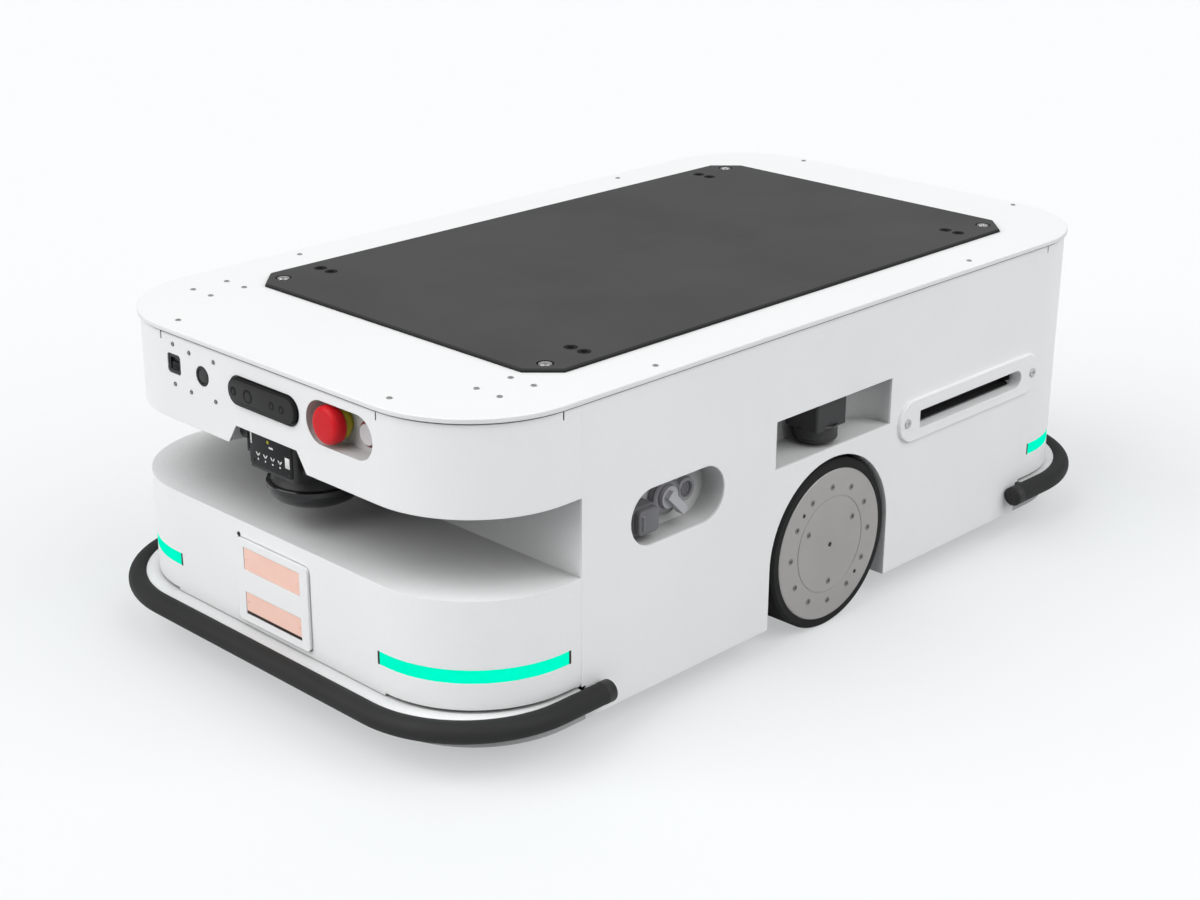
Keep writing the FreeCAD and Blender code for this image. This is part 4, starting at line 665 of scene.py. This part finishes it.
# the stop button's skirt slides over its collar when it is pressed
stopButton = {
    "head": {"profile": [(0, 4.4), (18.3, 4.4), (18.3, 0), (19.3, 0), (19.8, 0.6), (20.0, 4.0),
                         (20.0, 8.0), (19.6, 10.1), (18.6, 12.0), (17.1, 13.3), (15.4, 13.9),
                         (13.5, 14.0), (0, 14.0)],
             "at": (528.0, 100, level), "axis": "x", "finish": "stopRed",
             "slotName": "red_plastic", "steps": 96, "body": "stop_head"},
    "collar": {"profile": [(9.6, 0), (13.5, 0), (13.5, 4.6), (17.0, 5.0), (17.6, 5.6),
                           (17.6, 10.4), (16.8, 11.4), (9.6, 11.4)],
               "at": (515.0, 100, level), "axis": "x", "finish": "collarYellow",
               "slotName": "yellow_plastic", "steps": 72}}
startCap = {"profile": [(10.5, 0), (10.9, 0.2), (10.9, 0.8), (10.3, 1.2), (9.6, 1.0), (0, 0.9)],
            "at": (525.75, 147.5, level), "axis": "x", "finish": "buttonWhite",
            "slotName": "pale_plastic", "steps": 56, "body": "start_button"}


def makeButtons():
    head = makeTurnedPiece("stopHeadMushroom", **stopButton["head"])
    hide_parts("stop_head")
    collar = makeTurnedPiece("stopCollarRing", **stopButton["collar"])
    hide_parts("stop_collar")
    makeTurnedPiece("startCapRim", **startCap)


makePorts()
makeCameraFace()
makeButtons()
print("fascia done")


# ---- front scanner
# dished window: a broad flange above, and glass that draws in below it
bowl = {"profile": [(0, 0), (33, 0), (38.5, 0.8), (43.5, 3.6), (47.2, 8.0), (49.2, 13.0),
                    (49.6, 15.0), (51, 16.0), (51, 21.2), (50.2, 22.0), (44, 22.0), (42, 21.0),
                    (0, 21.0)],
        "at": (478.0, 0, 214), "axis": "z", "finish": "scannerGlass",
        "slotName": "gloss_black", "steps": 96}
scannerFace = 532.0
marksAt = scannerFace + 0.85
facePlate = {"plate": (((44, 70, 0.9), (scannerFace, 0, 277), "x", 4.0, 0.5),),
             "wedgeAt": (-21.0, -9.0, 3.0, 15.0), "wedgeHeight": 268.5,
             "stroke": (5.6, 1.5, 0.18), "strokeCorner": 0.5, "strokeTurn": 38,
             "strokeReach": 1.3, "dot": (2.2, 2.2, 0.18), "dotCorner": 0.9, "dotReach": 5.0,
             "marks": (((11.5, 7.5, 0.25), (marksAt, 27.5, 271.5), "x", 0.5, 0.1),
                       ((16, 2.2, 0.3), (marksAt, -31.5, 286), "x", 0.6, 0.1),
                       ((2.0, 7.0, 0.12), (marksAt, 1.0, 280.5), "x", 0.5, 0)),
             "lamp": {"profile": [(1.9, 0), (1.9, 0.4), (1.2, 0.9), (0, 1.0)],
                      "at": (scannerFace + 0.8, -3.5, 286), "axis": "x",
                      "finish": "collarYellow", "slotName": "yellow_plastic", "steps": 24},
             "screw": {"radius": 1.9, "height": 0.7, "socket": 0.9, "sink": 0.5},
             "screwAt": [((scannerFace + 0.9, y, z), "x") for y in (-30, 30)
                         for z in (259.5, 292)]}


# a row of small wedge marks, and a plain display among short bars
def makeScannerMarks():
    shape = bmesh.new()
    for y in facePlate["wedgeAt"]:
        place = seat((marksAt, y, facePlate["wedgeHeight"]), "x")
        for sign in (1, -1):
            reach = Matrix.Translation((0, -sign * facePlate["strokeReach"] * mm, 0))
            turn = Matrix.Rotation(math.radians(sign * facePlate["strokeTurn"]), 4, "Z")
            addBlock(shape, facePlate["stroke"], place @ reach @ turn,
                     facePlate["strokeCorner"], 0)
        reach = Matrix.Translation((facePlate["dotReach"] * mm, 0, 0))
        addBlock(shape, facePlate["dot"], place @ reach, facePlate["dotCorner"], 0)
    for size, at, axis, corner, soft in facePlate["marks"]:
        addBlock(shape, size, seat(at, axis), corner, soft)
    finishPiece("scannerMarks", shape, "markWhite")


# a pale shroud closes the space behind the notch; a bracket's cheeks and lips hold the housing
shroud = [((97, 1.5, 24), (484.5, sign * 63, 272.5), "z", 0.6, 0.3) for sign in (1, -1)]
shroud += [((97, 127, 1.5), (484.5, 0, 295), "z", 0.6, 0.3)]
bracket = [(size, (488, sign * y, 262), "z", 0.8, 0.4) for sign in (1, -1)
           for size, y in (((72, 3, 38), 50.5), ((72, 10, 3), 44.5))]
knob = {"profile": [(0, 0), (6.4, 0), (6.8, 0.5), (6.8, 3.2), (6.2, 4.0), (2.6, 4.0), (2.2, 3.4),
                    (0, 3.4)], "at": (524.3, -50.5, 284), "axis": "x", "finish": "scannerCase",
        "slotName": "dark_plastic", "steps": 32}


def makeFrontScanner():
    hood = makeTurnedPiece("frontScannerBowl", **bowl)
    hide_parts("front_scanner_hood")
    makeBlocks("scannerFacePlate", facePlate["plate"], "scannerFace")
    makeScannerMarks()
    makeTurnedPiece("scannerLamp", **facePlate["lamp"])
    makeBlocks("scannerShroud", shroud, "whitePowder")
    makeTurnedPiece("scannerKnob", **knob)
    makeBlocks("scannerBracket", bracket, "frameBlack")
    makeScrews("scannerScrews", facePlate["screwAt"], facePlate["screw"], "scannerCase")


makeFrontScanner()
print("front scanner done")


# ---- lower shell: charging panel and light strips
# a black ring in the gap round the panel: painted shade of the gap
panelGapShade = {"size": (95.9, 121.9, 2.6), "at": (front - 3, 0, 121.0), "corner": 6.9, "soft": 0.2,
        "wall": 0.9, "depth": 2.0}
# a dark strip of painted shadow under the lower contact, and pins at the ends of both contacts
contacts = {"strip": (((3.4, 93.0, 1.1), (538.95, 0, 84.6), "x", 0.5, 0.3),),
            "pin": [(1.5, 0), (1.5, 0.25), (1.1, 0.5), (0, 0.5)], "pinSteps": 20,
            "pinAt": [(539.85, y, z) for z in (97.5, 146.5) for y in (-43.5, 43.5)]}
chargingSensor = {"profile": [(2.6, 0), (2.6, 0.8), (2.0, 1.4), (0, 1.4)],
                  "at": (front - 0.4, -57, 170.6), "axis": "x", "finish": "glossBlack",
                  "slotName": "dark_plastic", "steps": 24}


def makeChargingDetails():
    shape = bmesh.new()
    addBlock(shape, panelGapShade["size"], seat(panelGapShade["at"], "x"), panelGapShade["corner"], panelGapShade["soft"])
    top = max(shape.faces, key=lambda face: (round(face.calc_center_median().x, 6),
                                             face.calc_area()))
    bmesh.ops.inset_region(shape, faces=[top], thickness=panelGapShade["wall"] * mm,
                           use_even_offset=True)
    bmesh.ops.translate(shape, verts=top.verts, vec=(-panelGapShade["depth"] * mm, 0, 0))
    finishPiece("chargingGapShade", shape, "frameBlack")
    makeBlocks("contactShadowStrip", contacts["strip"], "darkBrown")
    shape = bmesh.new()
    for at in contacts["pinAt"]:
        addTurned(shape, contacts["pin"], seat(at, "x"), contacts["pinSteps"])
    finishPiece("contactPins", shape, "contactSalmon")
    makeTurnedPiece("chargingSensor", **chargingSensor)


# a black cap closes each end of each light strip
lightCap = {"length": 14.5, "depth": 2.6, "x": (front - 2.3, 403.8), "y": (166.3, side - 2.3),
            "z": 106.25, "form": (0.4, 0.3)}


def makeLightCaps():
    length, depth, z, form = (lightCap[key] for key in ("length", "depth", "z", "form"))
    for end, endSign in ends:
        blocks = []
        for sideSign in (1, -1):
            onFront, onSide = ((endSign * x, sideSign * y, z)
                               for x, y in zip(lightCap["x"], lightCap["y"]))
            blocks += [((length, depth, depth), onFront, facing("x", endSign), *form),
                       ((depth, length, depth), onSide, facing("y", sideSign), *form)]
        makeBlocks(end + "LightCaps", blocks, "darkBrown")


makeChargingDetails()
makeLightCaps()
print("lower shell done")


# ---- bumpers
bumperCap = {"at": (360.0, 312.0, 58.0), "steps": 48,
             "profile": [(0, -0.6), (4.0, -0.6), (4.4, -1.4), (9.55, -1.4), (11.15, -0.6),
                         (12.0, 0.8), (12.0, 11.0), (11.65, 11.4)]}


def makeBumperCaps():
    x, y, z = bumperCap["at"]
    for end, endSign in ends:
        shape = bmesh.new()
        for sideSign in (1, -1):
            place = seat((endSign * x, sideSign * y, z), facing("x", endSign))
            addTurned(shape, bumperCap["profile"], place, bumperCap["steps"])
        finishPiece(end + "BumperCaps", shape, "bumperCap", end + "_bumper")


makeBumperCaps()
print("bumpers done")


# ---- left pocket: charge plug, service port and main switch
plugLid = (((30, 27, 7.5), (283.5, 285.3, 213.5), "y", 5.0, 1.8, 5, 3),
           ((4, 16, 2.5), (292.5, 292.3, 213.5), "y", 1.0, 0.8))
plugHinge = {"profile": [(3.0, -13), (3.0, 13), (0, 13.2)], "at": (299.5, 281, 213.5),
             "axis": "z", "finish": "socketGrey", "slotName": "dark_plastic", "steps": 20}
servicePort = {"x": 209.5, "z": 222.5, "floor": 269.5, "steps": 56,
               "ring": [(13.6, 0), (13.6, 3.0), (12.6, 6.2), (9.4, 6.4), (8.8, 5.2), (8.8, 1.4),
                        (0, 1.4)],
               "pin": [(0.9, 0), (0.9, 3.0), (0.4, 3.6), (0, 3.6)], "pinSteps": 12,
               "pinReach": 4.6, "pinLift": 1.2, "pinStep": 72}
switchDrum = {"profile": [(20.6, 0), (20.6, 5.4), (19.6, 7.4), (16.0, 8.15), (12.6, 8.15)],
              "at": (241.5, 269.5, 224.5), "axis": "y", "finish": "drumGrey",
              "slotName": "dark_plastic", "steps": 72}


def makePocketDetails():
    makeBlocks("chargePlugLid", plugLid, "lidGrey")
    makeTurnedPiece("chargePlugHinge", **plugHinge)
    x, y, z = (servicePort[key] for key in ("x", "floor", "z"))
    shape = bmesh.new()
    addTurned(shape, servicePort["ring"], seat((x, y, z), "y"), servicePort["steps"])
    for angle in range(0, 360, servicePort["pinStep"]):
        across, up = around(servicePort["pinReach"], angle)
        place = seat((x + across, y + servicePort["pinLift"], z + up), "y")
        addTurned(shape, servicePort["pin"], place, servicePort["pinSteps"])
    finishPiece("servicePortRing", shape, "leverGrey")
    makeTurnedPiece("switchDrum", **switchDrum)


makePocketDetails()
print("pocket done")


# ---- side scanners, handles and wheels, alike on both sides
# a stepped collar over each scanner's window, and the window's rounded foot
eye = {"at": (-7.5, 272.0, 222.0), "steps": 72,
       "collar": [(25.4, 15.2), (26.2, 16.0), (26.2, 18.6), (25.2, 19.6), (22.0, 19.6)],
       "foot": [(0, -0.4), (19, -0.4), (21.6, 0.4), (23.6, 2.4), (25.3, 3.0), (25.3, 4.0)]}
grip = {"x": -266.0, "z": 211.0, "face": 304.0, "screwReach": 128.0,
        "head": {"radius": 5.6, "height": 1.8, "socket": 2.6, "sink": 1.3}}
# a dark tray of painted shade lines the inner half of the carrying handle's grip
gripShadeTray = {"size": (206.8, 21.4, 15.8), "y": 272.2, "z": 210.0, "corner": 6.0,
              "soft": 0.1, "wall": 0.7, "facing": 0.99}
# twelve rim screws, three boss screws, two dowels and the centre plug
hub = {"x": -7.5, "z": 100.0, "face": 300.6,
       "screw": {"radius": 3.6, "height": 0.55, "socket": 1.6, "sink": 0.9},
       "screwAt": [(69, angle) for angle in range(0, 360, 30)] + [(45, 30), (45, 150), (45, 270)],
       "dot": [(1.62, -0.1), (1.62, 0.08), (0, 0.08)], "dotSteps": 6,
       "dowels": ((69, 45, 2.4), (69, 225, 2.4), (0, 0, 2.8)), "dowelSteps": 24,
       "dowel": ((0, -0.5), (0, 0.25), (-0.4, 0.45)), "dowelDish": 0.3}


def makeGripShadeTray(sideName, sign):
    shape = bmesh.new()
    place = seat((grip["x"], sign * gripShadeTray["y"], gripShadeTray["z"]), facing("y", sign))
    addBlock(shape, gripShadeTray["size"], place, gripShadeTray["corner"], gripShadeTray["soft"],
             softSteps=1)
    shape.normal_update()
    mouth = [face for face in shape.faces if face.normal.y * sign > gripShadeTray["facing"]]
    bmesh.ops.inset_region(shape, faces=mouth, thickness=gripShadeTray["wall"] * mm)
    depth = gripShadeTray["size"][2] - gripShadeTray["wall"]
    sunk = {vert for face in mouth for vert in face.verts}
    bmesh.ops.translate(shape, verts=list(sunk), vec=(0, -sign * depth * mm, 0))
    finishPiece(sideName + "GripShadeTray", shape, "frameBlack")


def makeHubDetails(sideName, sign):
    screws, dots = bmesh.new(), bmesh.new()

    def spot(reach, angle):
        across, up = around(reach, angle)
        return hub["x"] + across, sign * hub["face"], hub["z"] + up

    out, body = facing("y", sign), sideName + "_wheel"
    for reach, angle in hub["screwAt"]:
        at = spot(reach, angle)
        addSocketScrew(screws, at, out, {**hub["screw"], "roll": angle})
        # a black disc in each screw's socket is painted shade
        addTurned(dots, hub["dot"], seat(at, out), hub["dotSteps"])
    for reach, angle, radius in hub["dowels"]:
        profile = [(radius + past, height) for past, height in hub["dowel"]]
        addTurned(dots, profile + [(0, hub["dowelDish"])], seat(spot(reach, angle), out),
                  hub["dowelSteps"])
    finishPiece(sideName + "HubScrews", screws, "hubScrew", body)
    finishPiece(sideName + "HubDots", dots, "glossBlack", body)


def makeSideDetails(sideName, sign):
    x, y, z = eye["at"]
    shape = bmesh.new()
    for key in ("collar", "foot"):
        addTurned(shape, eye[key], seat((x, sign * y, z)), eye["steps"])
    finishPiece(sideName + "ScannerCollar", shape, "scannerGlass")
    spots = [((grip["x"] + reach, sign * grip["face"], grip["z"]), facing("y", sign))
             for reach in (-grip["screwReach"], grip["screwReach"])]
    makeScrews(sideName + "HandleScrews", spots, grip["head"])
    makeGripShadeTray(sideName, sign)
    makeHubDetails(sideName, sign)


for sideName, sign in sides:
    makeSideDetails(sideName, sign)
print("side scanners, handles and hubs done")


# ---- suspension springs: real coils in place of the plain sleeves
spring = {"x": -112.0, "y": 189.0, "low": 134.0, "high": 196.0, "radius": 12.0, "wire": 2.2,
          "wireSides": 10, "turns": 6, "perTurn": 36}


def makeSpring(sideName, sign):
    x, y, low, high, wire = (spring[key] for key in ("x", "y", "low", "high", "wire"))
    shape = bmesh.new()
    start = Vector((x + spring["radius"], sign * y, low + wire)) * mm
    section = bmesh.ops.create_circle(shape, segments=spring["wireSides"], radius=wire * mm,
                                      matrix=Matrix.Translation(start)
                                      @ Matrix.Rotation(quarterTurn, 4, "X"))
    rise = (high - low - 2 * wire) * mm
    steps = spring["turns"] * spring["perTurn"]
    bmesh.ops.spin(shape, geom=list(section["verts"]) + list(edgesOf(section["verts"])),
                   cent=(x * mm, sign * y * mm, 0), axis=(0, 0, 1),
                   dvec=(0, 0, rise / steps), angle=2 * math.pi * spring["turns"], steps=steps,
                   use_merge=False, use_duplicate=False)
    bmesh.ops.holes_fill(shape, edges=shape.edges, sides=0)
    coil = finishPiece(sideName + "SpringCoil", shape, "zincSteel", None)
    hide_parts(sideName + "_spring")
    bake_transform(coil)


for sideName, sign in sides:
    makeSpring(sideName, sign)
print("springs done")


# ---- underside: caster bolts, swivel rings, axle nuts, motor fins and pan
caster = {"x": 405.0, "y": 180.0, "plate": 101.0, "trail": 27.0, "axle": 37.5, "span": 20.0,
          "boltAt": [(x, y) for x in (-39, 39) for y in (-33, 33)],
          "bolt": {"radius": 5.2, "height": 4.0, "socket": 2.4, "sink": 2.0},
          "swivel": [(27.2, 0), (29.5, 0.6), (30.6, 2.6), (30.6, 4.4), (28.8, 6.0), (27.2, 6.4)],
          "swivelDrop": 7.0, "washer": [(7.6, 0), (7.6, 1.0), (4.9, 1.2)], "washerSteps": 32,
          "nut": 6.2, "nutHeight": 4.0, "nutLift": 3.0, "nutEdge": 0.6, "cap": 15.0,
          "capProfile": [(24, -0.2), (23, 0.45), (14, 0.5), (12.5, 0.95), (6.5, 0.95)],
          "capSteps": 48}


def addAxleNut(shape, place):
    addTurned(shape, caster["washer"], place, caster["washerSteps"])
    made = bmesh.ops.create_cone(shape, cap_ends=True, segments=6, radius1=caster["nut"] * mm,
                                 radius2=caster["nut"] * mm, depth=caster["nutHeight"] * mm,
                                 matrix=place @ Matrix.Translation((0, 0, caster["nutLift"] * mm)))
    bevelEdges(shape, list(edgesOf(made["verts"])), caster["nutEdge"], 1)


def makeCaster(body, x, y):
    makeTurnedPiece(body + "SwivelRing", caster["swivel"],
                    (x, y, caster["plate"] - caster["swivelDrop"]), "z", "zincSteel", "steel",
                    body=body + "_fork")
    nuts, caps = bmesh.new(), bmesh.new()
    for sign in (1, -1):
        nutPlace, capPlace = (seat((x - caster["trail"], y + sign * caster[key], caster["axle"]),
                                   facing("y", sign)) for key in ("span", "cap"))
        addAxleNut(nuts, nutPlace)
        addTurned(caps, caster["capProfile"], capPlace, caster["capSteps"])
    finishPiece(body + "AxleNuts", nuts, "zincSteel", body + "_fork")
    finishPiece(body + "WheelCaps", caps, "socketGrey", body + "_roller")


def makeCasterDetails():
    bolts = []
    for end, endSign in ends:
        for sideName, sideSign in sides:
            x, y = endSign * caster["x"], sideSign * caster["y"]
            bolts += [((x + dx, y + dy, caster["plate"]), "-z") for dx, dy in caster["boltAt"]]
            makeCaster(end + "_" + sideName, x, y)
    makeScrews("casterBolts", bolts, caster["bolt"])


motor = {"x": -7.5, "z": 100.0, "inner": 95.0, "outer": 178.0, "margin": 8.0, "fins": 9,
         "lead": 0.25,
         "fin": [(39.5, 0), (42.6, 0.6), (42.9, 1.2), (42.9, 2.4), (42.6, 3.0), (39.5, 3.6)],
         "screw": {"radius": 2.8, "height": 1.6, "socket": 1.3, "sink": 0.9},
         "screwReach": 28, "screwFace": 87}


def makeMotorDetails(sideName, sign):
    shape = bmesh.new()
    first = motor["inner"] + motor["margin"]
    step = (motor["outer"] - motor["margin"] - first) / motor["fins"]
    for count in range(motor["fins"]):
        y = first + step * (count + motor["lead"])
        addTurned(shape, motor["fin"],
                  seat((motor["x"], sign * y, motor["z"]), facing("y", sign)))
    finishPiece(sideName + "MotorFins", shape, "castMetal", sideName + "_arm")
    spots = []
    for angle in range(30, 390, 60):
        across, up = around(motor["screwReach"], angle)
        at = (motor["x"] + across, sign * motor["screwFace"], motor["z"] + up)
        spots.append((at, facing("y", -sign)))
    makeScrews(sideName + "MotorScrews", spots, motor["screw"], body=sideName + "_arm")


pan = {"low": 29.0, "screw": {"radius": 3.4, "height": 1.2, "socket": 1.5, "sink": 0.9},
       "screwAt": ((500, 120), (500, 0), (250, 280), (250, 60), (0, 60), (-180, 280), (-250, 60),
                   (-500, 120), (-500, 0), (330, 280), (-330, 280)),
       "rib": (180, 14, 2.2), "ribAt": [(x, y) for x in (-200, 200) for y in (-30, 30)],
       "ribForm": (6.9, 1.2, 8)}


# two shallow embossed ribs run under each half of the pan
def makePanDetails():
    spots = [((x, sign * y, pan["low"]), "-z") for x, y in pan["screwAt"]
             for sign in ((1, -1) if y else (1,))]
    makeScrews("panScrews", spots, pan["screw"])
    makeBlocks("panRibs", [(pan["rib"], (x, y, pan["low"]), "-z", *pan["ribForm"])
                           for x, y in pan["ribAt"]], "skirtGrey")


makeCasterDetails()
for sideName, sign in sides:
    makeMotorDetails(sideName, sign)
makePanDetails()
print("underside done")


# ---- floor, light and camera
stage = {"floorSize": 30.0, "floorDrop": 0.0002,
         "seenFloor": (0.812, 0.828, 0.835), "litFloor": (0.40, 0.405, 0.41),
         "backdrop": (0.947, 0.965, 0.973), "shadowLift": 0.45,
         "skyColour": (1.0, 1.005, 1.01), "skyLow": 0.05, "skyHigh": 0.40,
         "skyBand": (0.12, 0.62),
         "suns": ({"name": "frontKey", "power": 2.3, "spread": 60.0, "azimuth": -22.0,
                   "height": 38.0},
                  {"name": "leftKey", "power": 1.7, "spread": 60.0, "azimuth": 106.0,
                   "height": 38.0},
                  {"name": "rearFill", "power": 0.4, "spread": 80.0, "azimuth": -138.0,
                   "height": 30.0})}


# the floor's own tone lights the object; what the camera sees of it is paler, shadow kept
def makeFloor():
    shape = bmesh.new()
    bmesh.ops.create_grid(shape, x_segments=2, y_segments=2, size=stage["floorSize"] / 2,
                          matrix=Matrix.Translation((0, 0, -stage["floorDrop"])))
    mesh = bpy.data.meshes.new("floor")
    shape.to_mesh(mesh)
    shape.free()
    floor = bpy.data.objects.new("floor", mesh)
    scene.collection.objects.link(floor)
    material, tree, shader = newMaterial("paleFloor")
    surface = tree.nodes["Material Output"]
    rays = addNode(tree, "LightPath")
    seen = addMath(tree, "MAXIMUM")
    tone = addMix(tree, {"A": colour(stage["litFloor"]), "B": colour(stage["seenFloor"])})
    glow = addNode(tree, "Emission", {"Color": colour(stage["backdrop"])})
    share = addMath(tree, "MULTIPLY", stage["shadowLift"])
    both = addNode(tree, "MixShader")
    join(tree, (rays, "Is Camera Ray", seen, 0), (rays, "Is Glossy Ray", seen, 1),
        (seen, 0, tone, "Factor"), (tone, "Result", shader, "Base Color"),
        (rays, "Is Camera Ray", share, 0), (share, 0, both, "Fac"),
        (shader, "BSDF", both, 1), (glow, "Emission", both, 2))
    # clear from below, so that the underside can be looked at
    below = addNode(tree, "NewGeometry")
    clear = addNode(tree, "BsdfTransparent")
    sided = addNode(tree, "MixShader")
    join(tree, (below, "Backfacing", sided, "Fac"), (both, "Shader", sided, 1),
        (clear, "BSDF", sided, 2), (sided, "Shader", surface, "Surface"))
    setInputs(shader, {"Roughness": 0.9, "Specular IOR Level": 0.0})
    mesh.materials.append(material)


# a dome that is bright overhead and falls off towards the horizon
def makeSky():
    world = bpy.data.worlds.new("studio")
    scene.world = world
    world.use_nodes = True
    tree = world.node_tree
    dome = tree.nodes["Background"]
    surface = tree.nodes["World Output"]
    setInputs(dome, {"Color": colour(stage["skyColour"])})
    low, high = stage["skyBand"]
    direction = addNode(tree, "TexCoord")
    parts = addNode(tree, "SeparateXYZ")
    rise = addNode(tree, "MapRange",
                   {"From Min": low, "From Max": high, "To Min": stage["skyLow"],
                    "To Max": stage["skyHigh"]}, interpolation_type="SMOOTHSTEP")
    plain = addNode(tree, "Background", {"Color": colour(stage["backdrop"])})
    rays = addNode(tree, "LightPath")
    both = addNode(tree, "MixShader")
    join(tree, (direction, "Generated", parts, "Vector"), (parts, "Z", rise, "Value"),
        (rise, "Result", dome, "Strength"), (rays, "Is Camera Ray", both, "Fac"),
        (dome, "Background", both, 1), (plain, "Background", both, 2),
        (both, "Shader", surface, "Surface"))


def makeSuns():
    for sun in stage["suns"]:
        data = bpy.data.lights.new(sun["name"], "SUN")
        data.energy = sun["power"]
        data.angle = math.radians(sun["spread"])
        lamp = bpy.data.objects.new(sun["name"], data)
        scene.collection.objects.link(lamp)
        turn, height = math.radians(sun["azimuth"]), math.radians(sun["height"])
        comesFrom = Vector((math.cos(height) * math.cos(turn), math.cos(height) * math.sin(turn),
                            math.sin(height)))
        lamp.rotation_euler = comesFrom.to_track_quat("Z", "Y").to_euler()
    scene.view_settings.view_transform = "Standard"


camera = {"at": (1.68245, 1.58218, 1.02785), "yaw": 44.186, "pitch": 21.187, "roll": 0.334,
          "lens": 61.36, "sensor": 36.0, "nearest": 0.05, "farthest": 100}


def makeCamera():
    yaw, pitch, roll = (math.radians(camera[key]) for key in ("yaw", "pitch", "roll"))
    ahead = -Vector((math.cos(pitch) * math.cos(yaw), math.cos(pitch) * math.sin(yaw),
                     math.sin(pitch)))
    right = ahead.cross(Vector((0, 0, 1))).normalized()
    up = right.cross(ahead)
    tiltedRight = math.cos(roll) * right + math.sin(roll) * up
    tiltedUp = -math.sin(roll) * right + math.cos(roll) * up
    data = bpy.data.cameras.new("view")
    data.lens = camera["lens"]
    data.sensor_width = camera["sensor"]
    data.clip_start = camera["nearest"]
    data.clip_end = camera["farthest"]
    view = bpy.data.objects.new("view", data)
    scene.collection.objects.link(view)
    turn = Matrix((tiltedRight, tiltedUp, -ahead)).transposed().to_4x4()
    view.matrix_world = Matrix.Translation(camera["at"]) @ turn
    scene.camera = view


makeFloor()
makeSky()
makeSuns()
makeCamera()
print("stage and camera set")
